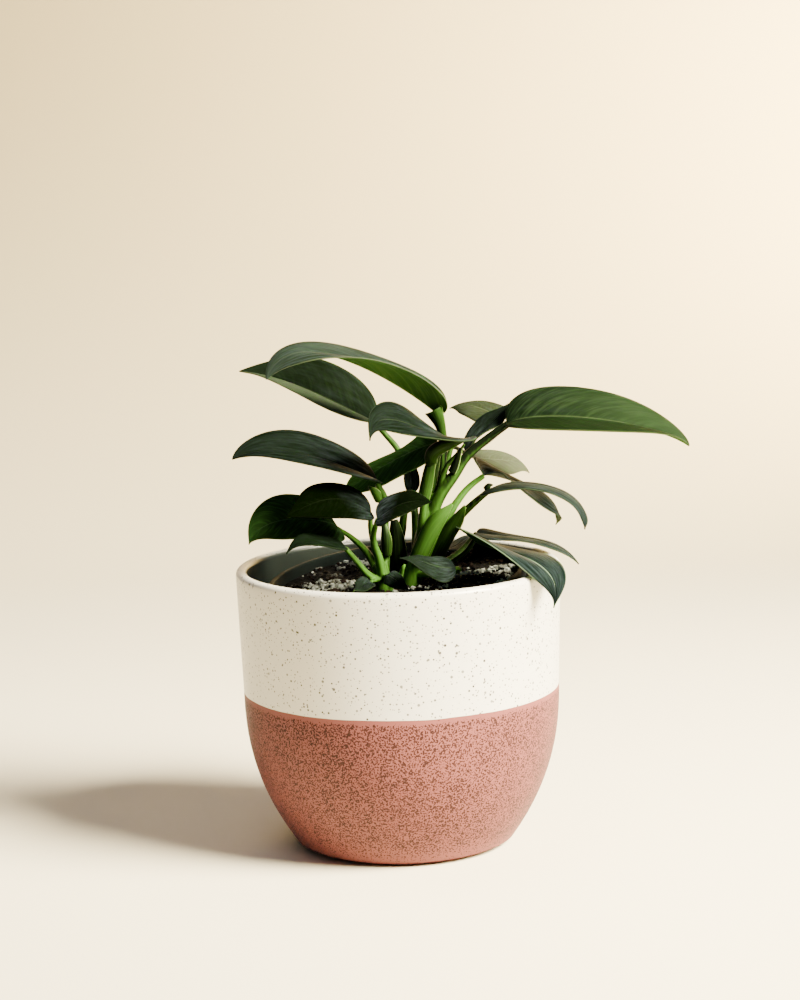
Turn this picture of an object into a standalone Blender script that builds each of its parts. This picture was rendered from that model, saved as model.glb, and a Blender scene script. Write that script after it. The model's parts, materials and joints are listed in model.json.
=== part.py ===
"""A potted philodendron: a glazed ceramic pot, a tipped nursery pot inside it, soil, three stems and their leaves.

The pot's base stands on z = 0, its axis is the z axis, and the plant is seen from -y. Sizes below are in
millimetres, and millimetres() turns them into Blender's metres.
"""

import math
import random
from collections import namedtuple

import bmesh
import bpy
from mathutils import Euler, Matrix, Vector, noise

MILLIMETRE = 0.001
GAP = 0.3
MERGE_DISTANCE = 0.05 * MILLIMETRE

# Ceramic pot
POT_HEIGHT = 121.5
POT_FOOT_RADIUS = 46.0
POT_SHOULDER_HEIGHT = 68.5
POT_SHOULDER_RADIUS = 68.3
POT_RIM_RADIUS = 70.0
POT_BELLY_POWER = 2.3
POT_WALL = 4.8
POT_FLOOR = 8.0
POT_FOOT_CHAMFER = 0.8
POT_FLOOR_CORNER = 4.0
POT_INNER_HEIGHTS = (12.0, 20.0, 32.0, 48.0, POT_SHOULDER_HEIGHT, 95.0)
POT_OUTER_HEIGHTS = (95.0, POT_SHOULDER_HEIGHT, 56.0, 45.0, 34.0, 25.0, 17.0, 10.0, 4.0, POT_FOOT_CHAMFER)
POT_LIP_DEGREES = (180, 144, 108, 72, 36, 0)
POT_STEPS = 52

# Nursery pot, tipped so that its rim is high at the back and on the right
NURSERY_BASE_CENTRE = (6.8, 6.1, 12.4)
NURSERY_RIM_CENTRE = (-1.0, -2.0, 117.0)
NURSERY_RISE_TO_RIGHT = 4.3
NURSERY_RISE_TO_BACK = 4.5
NURSERY_BASE_RADIUS = 38.0
NURSERY_RIM_RADIUS = 56.0
NURSERY_HEIGHT = 105.2
NURSERY_WALL = 1.2
NURSERY_BAND_HEIGHT = 4.5
NURSERY_BAND_STEP = 1.2
NURSERY_DRAIN_RADIUS = 4.0
NURSERY_DRAIN_CIRCLE = 25.0
NURSERY_DRAINS = 5
NURSERY_STEPS = 40

# Soil
SOIL_BELOW_RIM = 4.5
SOIL_ROUGHNESS = 0.8
SOIL_MOUND = 0.6
SOIL_LUMP = 7.0
SOIL_RINGS = (48.0, 39.0, 30.0, 20.0, 10.0)
HOLE_CLEARANCE = GAP
HOLE_ABOVE_SOIL = 12.0
GRAIN_SEED = 7
GRAIN_RADII = (1.1, 2.3)
GRAIN_WIDTHS = (0.7, 1.0)
GRAIN_HEIGHTS = (0.6, 0.9)
GRAIN_REACH = 48.0

# Each bed of pale grains: centre, how far it spreads sideways and to the back, and how many grains
GrainBed = namedtuple("GrainBed", "centre spread count")
GRAIN_BEDS = (
    GrainBed((-30, 9), (9, 5), 13),
    GrainBed((-21, 40), (6, 6), 8),
    GrainBed((12, -12), (7, 2), 7),
    GrainBed((36, 0), (7, 3), 8),
    GrainBed((46, 6), (5, 4), 7),
    GrainBed((8, 34), (22, 9), 9),
)

# Leaves
BLADE_THICKNESS = 0.9
BLADE_ROWS = 12
BLADE_COLUMNS = 6
BLADE_END_HALF_WIDTH = 0.6
BLADE_BASE_FULLNESS = 0.5
BLADE_BOW = 0.22
BLADE_LOBE = 0.16
BLADE_RIPPLE = 0.35
BLADE_RIPPLE_TURNS = 9.0
STALK_SEAT_GAP = 0.8

# A leaf: four points its midrib passes through from stalk to tip, half its width, how quickly it tapers, and
# how many degrees its front and back halves stand up from level at the base, in the middle and at the tip
Leaf = namedtuple("Leaf", "midrib half_width taper front back")
LEAVES = {
    "leaf_top_back": Leaf(
        ((-9, 28, 180), (-30, 35, 190), (-47, 41, 197), (-68, 45, 202)), 16, 0.9, (0, 2, 8), (50, 65, 59)),
    "leaf_top_arching": Leaf(
        ((20, 6, 184), (-2, 2, 201), (-32, -5, 214), (-53, -14, 204)), 14.5, 0.9, (47, 12, -60), (75, 23, 29)),
    "leaf_top_right": Leaf(
        ((49, 4, 180), (71, 0, 183), (102, -5, 179), (125, -10, 170)), 18.5, 0.8, (0, -10, 25), (43, 36, 18)),
    "leaf_top_right_young": Leaf(
        ((32, 7, 168), (38, 12, 176), (44, 15, 181), (50, 19, 187)), 6.5, 1.0, (60, -8, -40), (0, 34, 50)),
    "leaf_centre_front": Leaf(
        ((29, -4, 174), (16, -14, 179), (-1, -26, 187), (-10, -38, 180)), 14.8, 1.2, (24, -21, -60), (0, 36, 70)),
    "leaf_left_long": Leaf(
        ((-8, -3, 157), (-25, -10, 167), (-47, -17, 174), (-68, -24, 172)), 14.3, 0.8, (7, -14, 1), (37, 38, 52)),
    "leaf_middle_back": Leaf(
        ((16, 6, 171), (4, 9, 167), (-9, 11, 160), (-22, 13, 151)), 13, 0.8, (-41, -33, -49), (62, 11, 70)),
    "leaf_left_round": Leaf(
        ((-11, -12, 146), (-23, -20, 153), (-34, -27, 153), (-46, -33, 148)), 14, 1.1, (-22, -34, -45), (47, 23, 42)),
    "leaf_left_low": Leaf(
        ((-26, 4, 138), (-38, -2, 142), (-53, -8, 142), (-63, -14, 134)), 18, 1.2, (-27, -24, -65), (25, 35, 65)),
    "leaf_left_rim": Leaf(
        ((-22, -24, 133), (-31, -30, 136), (-39, -35, 138), (-46, -40, 134)), 6.8, 1.2, (0, -10, -8), (42, 27, 29)),
    "leaf_centre_small": Leaf(
        ((-8, -23, 145), (-1, -27, 150), (6, -31, 153), (15, -35, 153)), 10, 1.1, (-31, -35, -50), (58, 32, 36)),
    "leaf_right_far": Leaf(
        ((25, 16, 170), (37, 30, 162), (50, 41, 159), (60, 49, 152)), 11.3, 1.1, (-11, -37, -65), (21, 19, 55)),
    "leaf_right_arched": Leaf(
        ((39, -10, 153), (52, -16, 157), (71, -21, 153), (79, -25, 138)), 12.2, 1.1, (-13, -3, -6), (-4, -9, -12)),
    "leaf_right_behind": Leaf(
        ((38, 3, 158), (49, 12, 155), (66, 20, 145), (70, 26, 132)), 12.5, 1.2, (18, -29, -65), (68, 9, 70)),
    "leaf_right_low": Leaf(
        ((35, 22, 130), (50, 20, 128), (66, 18, 125), (79, 15, 116)), 12.2, 1.2, (-3, 1, -10), (11, -7, 7)),
    "leaf_right_hanging": Leaf(
        ((33, -2, 131), (44, -19.5, 129.3), (60, -37.5, 124.7), (63.6, -51.5, 110.2)), 16.6, 1.2, (41, 16, -32), (-15, -5, 11)),
    "leaf_back_low": Leaf(
        ((21, 28, 122), (27, 34, 123), (32, 40, 125), (37, 44, 124)), 8.5, 1.1, (0, 0, -10), (-11, -16, 16)),
    "leaf_top_far": Leaf(
        ((48, 20, 180), (41, 28, 183), (33, 36, 185), (25, 42, 183)), 10.4, 1.1, (-17, -18, -42), (12, 7, 9)),
    "leaf_foot_front": Leaf(
        ((24, -24, 123), (16, -29, 125), (10, -33, 128), (1, -36, 130)), 6.9, 1.1, (-65, -60, -42), (56, 24, 26)),
    "leaf_foot_left": Leaf(
        ((-12, -18, 117), (-14, -22, 117), (-16, -26, 116), (-19, -31, 116)), 4, 1.1, (-20, -20, -20), (40, 30, 20)),
    "leaf_foot_middle": Leaf(
        ((-5, -21, 120), (-3, -23, 120), (0, -25, 118), (4, -27, 115)), 4.5, 0.9, (-50, -50, -40), (50, 40, 30)),
    "leaf_centre_young": Leaf(
        ((7, 8, 151), (7, 9, 156), (7, 11, 161), (8, 13, 165)), 3.6, 1.0, (20, 10, 0), (20, 10, 0)),
}

# A limb: the points that it passes through, and its radius at the first and the last of them
Limb = namedtuple("Limb", "points start_radius end_radius")
STEMS = {
    "stem_main": (
        Limb(((6, -2, 101), (6, -2, 113), (10, -1, 127), (14, 0, 142), (17, 1, 151)), 4.4, 3.4),
        Limb(((14, 1, 142), (18, 3, 152), (20, 4, 163), (21, 5, 174), (20, 6, 184)), 2.6, 1.6),
        Limb(((14, -1, 140), (19, -2, 151), (25, -1, 159), (31, 1, 167), (40, 3, 174), (49, 4, 180)), 3.0, 1.6),
        Limb(((25, -1, 160), (29, 3, 164), (32, 7, 168)), 1.6, 1.1),
        Limb(((19, -1, 155), (22, -2, 163), (27, -3, 169), (30, -4, 173)), 1.8, 0.9),
        Limb(((10, -3, 132), (12, -5, 147), (14, -5, 158), (17, -3, 166), (18, 2, 170), (17, 6, 171)), 2.2, 0.8),
        Limb(((12, 4, 135), (18, 9, 149), (22, 13, 161), (25, 16, 170)), 1.8, 1.1),
        Limb(((35, 2, 170), (41, 8, 173), (46, 14, 176), (49, 20, 179)), 1.5, 0.8),
        Limb(((11, -5, 123), (16, -6, 133), (22, -5, 142), (27, -2, 149), (32, 1, 154), (38, 3, 158)), 2.2, 1.2),
        Limb(((10, 0, 118), (15, -2, 126), (21, -5, 134), (27, -7, 142), (33, -9, 148), (39, -10, 153)), 2.7, 1.3),
        Limb(((8, 2, 118), (8, 10, 128), (8, 17, 140), (6, 23, 153), (2, 28, 166), (-4, 29, 174), (-9, 28, 180)),
             2.0, 1.2),
        Limb(((9, 1, 118), (20, 8, 120), (27, 15, 123), (32, 20, 127), (35, 22, 130)), 1.5, 1.1),
        Limb(((8, -2, 118), (18, -3, 120), (25, -4, 123), (30, -4, 127), (33, -2, 131)), 1.5, 1.1),
        Limb(((7, 1, 118), (15, 12, 120), (19, 22, 121), (21, 28, 122)), 1.3, 1.0),
        Limb(((8, -4, 117), (17, -12, 118), (23, -18, 120), (26, -22, 122), (24, -24, 123)), 1.4, 1.0),
    ),
    "stem_left": (
        Limb(((-6, -9, 100), (-6, -9, 112), (-7, -9, 118), (-8, -10, 123)), 4.0, 3.2),
        Limb(((-6, -10, 114), (-8, -14, 126), (-10, -18, 135), (-8, -23, 145)), 2.4, 1.0),
        Limb(((-7, -10, 118), (-9, -12, 129), (-11, -12, 138), (-11, -12, 146)), 1.9, 1.0),
        Limb(((-7, -8, 116), (-10, -5, 122), (-14, -2, 128), (-20, 3, 133), (-26, 5, 137)), 2.2, 0.9),
        Limb(((-7, -10, 115), (-13, -16, 120), (-17, -21, 126), (-22, -24, 133)), 1.8, 1.1),
        Limb(((-6, -8, 116), (-5, -6, 129), (-5, -4, 141), (-5, -4, 151), (-8, -3, 157)), 2.1, 1.3),
        Limb(((-6, -10, 116), (-9, -14, 117), (-12, -18, 117)), 1.2, 0.7),
        Limb(((-5, -10, 116), (-5, -16, 119), (-5, -21, 120)), 1.2, 0.7),
    ),
    "stem_middle": (
        Limb(((1, 8, 102), (1, 8, 114), (0, 7, 124), (2, 7, 136)), 3.1, 2.2),
        Limb(((2, 7, 134), (4, 7, 144), (7, 8, 151)), 2.0, 1.0),
    ),
}

# Colours as Blender's linear values, with roughness
COLOURS = {
    "glazed stoneware": ((0.80, 0.78, 0.74), 0.35),
    "black plastic": ((0.015, 0.015, 0.016), 0.35),
    "potting soil": ((0.020, 0.014, 0.010), 0.95),
    "green stem": ((0.17, 0.33, 0.07), 0.40),
    "dark leaf": ((0.030, 0.075, 0.025), 0.30),
    "bright leaf": ((0.085, 0.200, 0.045), 0.32),
    "grey leaf": ((0.160, 0.210, 0.120), 0.40),
}
BRIGHT_LEAVES = ("leaf_top_right", "leaf_top_arching", "leaf_centre_small", "leaf_left_rim")
GREY_LEAVES = ("leaf_right_far", "leaf_top_far", "leaf_back_low", "leaf_foot_front", "leaf_foot_middle")


def millimetres(point):
    return Vector(point) * MILLIMETRE


def clear_scene():
    for item in list(bpy.data.objects):
        bpy.data.objects.remove(item, do_unlink=True)


def new_collection(name):
    collection = bpy.data.collections.new(name)
    bpy.context.scene.collection.children.link(collection)
    return collection


def material(name):
    colour, roughness = COLOURS[name]
    made = bpy.data.materials.new(name)
    made.use_nodes = True
    shader = made.node_tree.nodes["Principled BSDF"]
    shader.inputs["Base Color"].default_value = (*colour, 1.0)
    shader.inputs["Roughness"].default_value = roughness
    shader.inputs["Metallic"].default_value = 0.0
    made.diffuse_color = (*colour, 1.0)
    return made


def add_object(name, data, collection, finish=None):
    item = bpy.data.objects.new(name, data)
    collection.objects.link(item)
    if finish is not None:
        data.materials.append(finish)
    return item


def shade(item, angle=35):
    item.data.shade_smooth()
    item.data.set_sharp_from_angle(angle=math.radians(angle))


def mesh_from(bm, name):
    mesh = bpy.data.meshes.new(name)
    bm.to_mesh(mesh)
    bm.free()
    return mesh


def apply_modifiers(item):
    """Replaces the object's data by its evaluated mesh and drops its modifiers."""
    graph = bpy.context.evaluated_depsgraph_get()
    mesh = bpy.data.meshes.new_from_object(item.evaluated_get(graph))
    item.modifiers.clear()
    item.data = mesh
    return item


def boolean(item, operation, operands, solver="EXACT"):
    """Joins or cuts item with every object in the collection operands, then removes those objects."""
    change = item.modifiers.new(operation.lower(), "BOOLEAN")
    change.operation = operation
    change.solver = solver
    change.operand_type = "COLLECTION"
    change.collection = operands
    apply_modifiers(item)
    for helper in list(operands.objects):
        bpy.data.objects.remove(helper, do_unlink=True)
    return item


def turned(name, profile, steps, collection, finish):
    """A solid of revolution from (radius, height) points that go down its outer side."""
    mesh = bpy.data.meshes.new(name)
    points = [millimetres((radius, 0, height)) for radius, height in profile]
    mesh.from_pydata(points, [(i, i + 1) for i in range(len(points) - 1)], [])
    item = add_object(name, mesh, collection, finish)
    screw = item.modifiers.new("turn", "SCREW")
    screw.steps = steps
    screw.render_steps = steps
    screw.use_merge_vertices = True
    screw.merge_threshold = 0.0001
    apply_modifiers(item)
    shade(item)
    return item


def pot_outer_radius(height):
    """The pot tapers a little to its shoulder, then curves in to the foot."""
    if height >= POT_SHOULDER_HEIGHT:
        share = (height - POT_SHOULDER_HEIGHT) / (POT_HEIGHT - POT_SHOULDER_HEIGHT)
        return POT_SHOULDER_RADIUS + (POT_RIM_RADIUS - POT_SHOULDER_RADIUS) * share
    share = 1 - height / POT_SHOULDER_HEIGHT
    return POT_SHOULDER_RADIUS - (POT_SHOULDER_RADIUS - POT_FOOT_RADIUS) * share**POT_BELLY_POWER


def make_ceramic_pot(collection):
    lip_radius = POT_WALL / 2
    lip_height = POT_HEIGHT - lip_radius
    lip_centre = pot_outer_radius(lip_height) - lip_radius
    inside_corner = pot_outer_radius(POT_FLOOR) - POT_WALL
    profile = [(0, POT_FLOOR), (inside_corner - POT_FLOOR_CORNER, POT_FLOOR)]
    for height in POT_INNER_HEIGHTS:
        profile.append((pot_outer_radius(height) - POT_WALL, height))
    for degrees in POT_LIP_DEGREES:
        angle = math.radians(degrees)
        across = lip_centre + lip_radius * math.cos(angle)
        profile.append((across, lip_height + lip_radius * math.sin(angle)))
    for height in POT_OUTER_HEIGHTS:
        profile.append((pot_outer_radius(height), height))
    profile += [(POT_FOOT_RADIUS - POT_FOOT_CHAMFER, 0), (0, 0)]
    return turned("ceramic_pot", profile, POT_STEPS, collection, material("glazed stoneware"))


def nursery_inner_radius(height):
    share = height / NURSERY_HEIGHT
    outer = NURSERY_BASE_RADIUS + (NURSERY_RIM_RADIUS - NURSERY_BAND_STEP - NURSERY_BASE_RADIUS) * share
    return outer - NURSERY_WALL


def make_nursery_pot(collection, cutters, seat):
    """A thin tapered pot with a rolled band at its rim and drain holes in its floor."""
    band_foot = NURSERY_HEIGHT - NURSERY_BAND_HEIGHT
    lip = NURSERY_WALL / 2
    profile = [
        (0, NURSERY_WALL),
        (nursery_inner_radius(NURSERY_WALL), NURSERY_WALL),
        (nursery_inner_radius(NURSERY_HEIGHT - lip), NURSERY_HEIGHT - lip),
        (nursery_inner_radius(NURSERY_HEIGHT) + lip, NURSERY_HEIGHT),
        (NURSERY_RIM_RADIUS - lip, NURSERY_HEIGHT),
        (NURSERY_RIM_RADIUS, NURSERY_HEIGHT - lip),
        (NURSERY_RIM_RADIUS, band_foot),
        (nursery_inner_radius(band_foot) + NURSERY_WALL, band_foot),
        (NURSERY_BASE_RADIUS, 0),
        (0, 0),
    ]
    pot = turned("nursery_pot", profile, NURSERY_STEPS, collection, material("black plastic"))
    for number in range(NURSERY_DRAINS):
        bm = bmesh.new()
        bmesh.ops.create_cone(
            bm,
            cap_ends=True,
            segments=12,
            radius1=NURSERY_DRAIN_RADIUS * MILLIMETRE,
            radius2=NURSERY_DRAIN_RADIUS * MILLIMETRE,
            depth=6 * NURSERY_WALL * MILLIMETRE,
        )
        drain = add_object(f"drain_{number}", mesh_from(bm, "drain"), cutters)
        angle = math.tau * number / NURSERY_DRAINS
        reach = NURSERY_DRAIN_CIRCLE
        drain.location = millimetres((reach * math.cos(angle), reach * math.sin(angle), 0))
    bpy.context.view_layer.update()
    boolean(pot, "DIFFERENCE", cutters)
    shade(pot)
    pot.parent = seat
    return pot


def soil_relief(across, back):
    """How far the loose surface stands above its level, in millimetres."""
    rough = SOIL_ROUGHNESS * noise.noise(Vector((across / SOIL_LUMP, back / SOIL_LUMP, 0.3)))
    mound = SOIL_MOUND * (1 - math.hypot(across, back) / NURSERY_RIM_RADIUS)
    return rough + mound


def soil_top(across, back):
    """Height of the soil's surface in the world, at a place in the world."""
    rise = math.tan(math.radians(NURSERY_RISE_TO_RIGHT)) * (across - NURSERY_RIM_CENTRE[0])
    rise += math.tan(math.radians(NURSERY_RISE_TO_BACK)) * (back - NURSERY_RIM_CENTRE[1])
    return NURSERY_RIM_CENTRE[2] - SOIL_BELOW_RIM + rise


def make_soil(collection, helpers, seat):
    level = NURSERY_HEIGHT - SOIL_BELOW_RIM
    bottom = NURSERY_WALL + GAP
    bm = bmesh.new()
    rings = [(0, bottom), (nursery_inner_radius(bottom) - GAP, bottom), (nursery_inner_radius(level) - GAP, level)]
    rings += [(radius, level) for radius in SOIL_RINGS] + [(0, level)]
    profile = [bm.verts.new(millimetres((radius, 0, height))) for radius, height in rings]
    edges = [bm.edges.new(pair) for pair in zip(profile[:-1], profile[1:])]
    bmesh.ops.spin(
        bm, geom=profile + edges, axis=(0, 0, 1), cent=(0, 0, 0), angle=math.tau, steps=NURSERY_STEPS, use_merge=True
    )
    bmesh.ops.remove_doubles(bm, verts=bm.verts, dist=MERGE_DISTANCE)
    inside_edge = (nursery_inner_radius(level) - 3 * GAP) * MILLIMETRE
    for vert in bm.verts:
        if vert.co.z > (level - 1) * MILLIMETRE and vert.co.xy.length < inside_edge:
            vert.co.z += soil_relief(vert.co.x / MILLIMETRE, vert.co.y / MILLIMETRE) * MILLIMETRE
    bmesh.ops.recalc_face_normals(bm, faces=bm.faces)
    soil = add_object("soil", mesh_from(bm, "soil"), collection, material("potting soil"))
    soil.matrix_world = seat.matrix_world
    bpy.context.view_layer.update()
    add_grains(helpers)
    boolean(soil, "UNION", helpers, "MANIFOLD")
    return soil


def add_grains(helpers):
    """Pale grains and bits of bark, half sunk in the soil's surface."""
    draw = random.Random(GRAIN_SEED)
    number = 0
    for bed in GRAIN_BEDS:
        for _ in range(bed.count):
            across = bed.centre[0] + bed.spread[0] * draw.uniform(-1, 1)
            back = bed.centre[1] + bed.spread[1] * draw.uniform(-1, 1)
            size = draw.uniform(*GRAIN_RADII)
            shrink = min(1, GRAIN_REACH / math.hypot(across, back))
            across *= shrink
            back *= shrink
            bm = bmesh.new()
            bmesh.ops.create_icosphere(bm, subdivisions=1, radius=size * MILLIMETRE)
            squash = Matrix.Diagonal((1, draw.uniform(*GRAIN_WIDTHS), draw.uniform(*GRAIN_HEIGHTS)))
            turn = Euler([draw.uniform(0, math.tau) for _ in range(3)]).to_matrix()
            bmesh.ops.transform(bm, matrix=(turn @ squash).to_4x4(), verts=bm.verts)
            grain = add_object(f"grain_{number}", mesh_from(bm, "grain"), helpers)
            grain.location = millimetres((across, back, soil_top(across, back) + SOIL_MOUND * 0.5))
            number += 1
    bpy.context.view_layer.update()


def cut_stem_holes(soil, cutters):
    """A plain round hole for the foot of each stem."""
    for name, limbs in STEMS.items():
        foot = limbs[0]
        depth = soil_top(*foot.points[0][:2]) + HOLE_ABOVE_SOIL - foot.points[0][2]
        bm = bmesh.new()
        radius = (foot.start_radius + HOLE_CLEARANCE) * MILLIMETRE
        bmesh.ops.create_cone(bm, cap_ends=True, segments=20, radius1=radius, radius2=radius, depth=depth * MILLIMETRE)
        hole = add_object(f"hole_{name}", mesh_from(bm, "hole"), cutters)
        middle = foot.points[0][2] - HOLE_CLEARANCE + depth / 2
        hole.location = millimetres((foot.points[0][0], foot.points[0][1], middle))
    bpy.context.view_layer.update()
    boolean(soil, "DIFFERENCE", cutters, "MANIFOLD")
    shade(soil, 50)


def make_limb(name, limb, collection):
    """A tapering round tube through the limb's points, as a closed mesh."""
    curve = bpy.data.curves.new(name, "CURVE")
    curve.dimensions = "3D"
    curve.bevel_depth = MILLIMETRE
    curve.bevel_resolution = 2
    curve.use_fill_caps = True
    curve.resolution_u = 2
    spline = curve.splines.new("BEZIER")
    spline.bezier_points.add(len(limb.points) - 1)
    last = len(limb.points) - 1
    for index, (knot, point) in enumerate(zip(spline.bezier_points, limb.points)):
        knot.co = millimetres(point)
        knot.handle_left_type = "AUTO"
        knot.handle_right_type = "AUTO"
        knot.radius = limb.start_radius + (limb.end_radius - limb.start_radius) * index / last
    guide = add_object(name, curve, collection)
    bpy.context.view_layer.update()
    graph = bpy.context.evaluated_depsgraph_get()
    mesh = bpy.data.meshes.new_from_object(guide.evaluated_get(graph))
    bpy.data.objects.remove(guide, do_unlink=True)
    bm = bmesh.new()
    bm.from_mesh(mesh)
    bmesh.ops.remove_doubles(bm, verts=bm.verts, dist=MERGE_DISTANCE)
    bmesh.ops.recalc_face_normals(bm, faces=bm.faces)
    bm.to_mesh(mesh)
    bm.free()
    return add_object(name, mesh, collection)


def seated(limb):
    """The limb with its far end drawn back by the gap that it keeps to the leaf it carries."""
    points = [Vector(point) for point in limb.points]
    points[-1] -= (points[-1] - points[-2]).normalized() * STALK_SEAT_GAP
    return Limb(points, limb.start_radius, limb.end_radius)


def make_stem(name, collection, helpers):
    limbs = STEMS[name]
    stem = make_limb(name, limbs[0], collection)
    stem.data.materials.append(material("green stem"))
    for number, limb in enumerate(limbs[1:]):
        make_limb(f"{name}_limb_{number}", seated(limb), helpers)
    bpy.context.view_layer.update()
    boolean(stem, "UNION", helpers, "MANIFOLD")
    shade(stem, 60)
    return stem


def midrib_point(points, share):
    """The cubic through four evenly spaced points."""
    knots = (0, 1 / 3, 2 / 3, 1)
    total = Vector((0, 0, 0))
    for i, point in enumerate(points):
        weight = 1.0
        for j in range(4):
            if j != i:
                weight *= (share - knots[j]) / (knots[i] - knots[j])
        total += Vector(point) * weight
    return total


def eased(values, share):
    """The parabola through a value at the base, in the middle and at the tip."""
    base, middle, tip = values
    return base * (1 - share) * (1 - 2 * share) + middle * 4 * share * (1 - share) + tip * share * (2 * share - 1)


def blade_half_width(leaf, share):
    """Round at the base, widest before the middle, drawn out to a point."""
    rise = BLADE_BASE_FULLNESS
    peak = rise / (rise + leaf.taper)
    outline = (share / peak) ** rise * ((1 - share) / (1 - peak)) ** leaf.taper
    return max(leaf.half_width * outline, BLADE_END_HALF_WIDTH)


def blade_point(leaf, share, across):
    """A place on the blade: share runs from stalk to tip, across from the front edge at -1 to the back edge at 1."""
    step = 0.01
    here = midrib_point(leaf.midrib, share)
    before = midrib_point(leaf.midrib, max(share - step, 0))
    after = midrib_point(leaf.midrib, min(share + step, 1))
    forward = (after - before).normalized()
    side = forward.cross(Vector((0, 0, 1))).normalized()
    upward = side.cross(forward)
    if leaf.midrib[-1][0] > leaf.midrib[0][0]:
        side = -side
    reach = abs(across)
    tilt = math.radians(eased(leaf.front if across < 0 else leaf.back, share))
    outward = math.copysign(math.cos(tilt), across) * side
    width = blade_half_width(leaf, share)
    lobe = BLADE_LOBE * width * reach**2 * (1 - share) ** 3
    ripple = BLADE_RIPPLE * reach**2 * math.sin(math.pi * share) * math.sin(BLADE_RIPPLE_TURNS * share + 2 * across)
    bow = BLADE_BOW * reach * (1 - reach) * width
    return here + (outward + math.sin(tilt) * upward) * width * reach + upward * (bow + ripple) - forward * lobe


def make_leaf(name, collection):
    """A thin blade: a grid bent by blade_point, split alike on both faces, then given its thickness."""
    leaf = LEAVES[name]
    bm = bmesh.new()
    bmesh.ops.create_grid(bm, x_segments=BLADE_ROWS, y_segments=BLADE_COLUMNS, size=1)
    for vert in bm.verts:
        vert.co = millimetres(blade_point(leaf, (vert.co.x + 1) / 2, vert.co.y))
    bmesh.ops.triangulate(bm, faces=bm.faces, quad_method="SHORT_EDGE")
    kind = "bright leaf" if name in BRIGHT_LEAVES else "grey leaf" if name in GREY_LEAVES else "dark leaf"
    item = add_object(name, mesh_from(bm, name), collection, material(kind))
    solid = item.modifiers.new("thickness", "SOLIDIFY")
    solid.thickness = BLADE_THICKNESS * MILLIMETRE
    solid.offset = 0
    item.data.shade_smooth()
    return item


def main():
    clear_scene()
    plant = new_collection("potted philodendron")
    cutters = new_collection("cutters")
    helpers = new_collection("repeats to join")
    seat = bpy.data.objects.new("nursery_pot_seat", None)
    plant.objects.link(seat)
    seat.location = millimetres(NURSERY_BASE_CENTRE)
    seat.rotation_euler = (math.radians(NURSERY_RISE_TO_BACK), math.radians(-NURSERY_RISE_TO_RIGHT), 0)
    bpy.context.view_layer.update()
    make_ceramic_pot(plant)
    make_nursery_pot(plant, cutters, seat)
    soil = make_soil(plant, helpers, seat)
    cut_stem_holes(soil, cutters)
    for name in STEMS:
        make_stem(name, plant, helpers)
    for name in LEAVES:
        make_leaf(name, plant)


main()
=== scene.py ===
# %% [markdown]
# # Dressing a potted philodendron
# A plain model of the plant is already built to its real size: a glazed pot, a tipped nursery pot inside it,
# soil, three stems and their leaves. This lesson gives each of those pieces its finish. The plain pieces are
# faceted so that they stay light, and here a finer piece takes the place of each one and keeps its form.

# %% Load the plain model
import math
import random
from collections import namedtuple

import bmesh
import bpy
import numpy as np
from mathutils import Euler, Matrix, Vector, noise
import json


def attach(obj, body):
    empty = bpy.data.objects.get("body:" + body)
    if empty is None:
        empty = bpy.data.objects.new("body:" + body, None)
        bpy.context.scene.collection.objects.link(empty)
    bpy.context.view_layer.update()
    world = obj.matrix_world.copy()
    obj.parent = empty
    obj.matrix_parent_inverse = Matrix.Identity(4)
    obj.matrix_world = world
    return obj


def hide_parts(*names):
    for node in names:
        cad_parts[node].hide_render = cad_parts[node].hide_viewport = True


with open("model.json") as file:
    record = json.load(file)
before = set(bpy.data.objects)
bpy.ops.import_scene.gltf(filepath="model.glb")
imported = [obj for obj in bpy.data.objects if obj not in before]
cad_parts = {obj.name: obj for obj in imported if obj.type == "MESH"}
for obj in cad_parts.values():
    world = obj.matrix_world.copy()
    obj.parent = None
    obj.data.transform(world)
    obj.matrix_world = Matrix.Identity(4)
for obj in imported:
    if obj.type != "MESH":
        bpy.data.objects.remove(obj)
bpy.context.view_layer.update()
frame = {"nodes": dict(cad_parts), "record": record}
MM = 0.001
print("plain pieces:", len(frame["nodes"]))

# %% [markdown]
# ## Camera
# A long lens, 90 mm on a sensor 36 mm high, stands a metre away and looks down by nearly nine degrees. That
# opens the pot's rim into a shallow ellipse. The picture leans a little, so the camera is rolled to match.

# %% Camera
CAMERA_PLACE = Vector((1.71, -1061.0, 312.5)) * MM
CAMERA_PITCH = math.radians(8.76)
CAMERA_ROLL = math.radians(1.7)
lens = bpy.data.cameras.new("camera")
lens.sensor_fit = "VERTICAL"
lens.sensor_height = 36.0
lens.lens = 90.0
lens.clip_end = 20.0
camera = bpy.data.objects.new("camera", lens)
bpy.context.scene.collection.objects.link(camera)
aim = Matrix.Rotation(math.radians(90) - CAMERA_PITCH, 4, "X") @ Matrix.Rotation(-CAMERA_ROLL, 4, "Z")
camera.matrix_world = Matrix.Translation(CAMERA_PLACE) @ aim
bpy.context.scene.camera = camera

# %% [markdown]
# ## Small helpers
# Colours are written as web colours and turned to Blender's linear values. One helper adds a node, sets its
# values and links its inputs, and every material below is made with it. Another turns a bmesh into an object
# that rides with the plant and stands for the plain pieces named.

# %% Colour, node and piece helpers
def linear(code):
    """A web colour such as #c8a080 as linear red, green, blue and alpha."""
    channels = [int(code[place : place + 2], 16) / 255 for place in (1, 3, 5)]
    return (*[c / 12.92 if c <= 0.04045 else ((c + 0.055) / 1.055) ** 2.4 for c in channels], 1.0)


def add_node(tree, kind, inputs=None, **settings):
    """Adds a node. An input takes a value, or another node's output to link from."""
    made = tree.nodes.new(kind)
    for name, value in settings.items():
        setattr(made, name, value)
    for name, value in (inputs or {}).items():
        if isinstance(value, bpy.types.NodeSocket):
            tree.links.new(value, made.inputs[name])
        else:
            made.inputs[name].default_value = value
    return made


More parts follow.
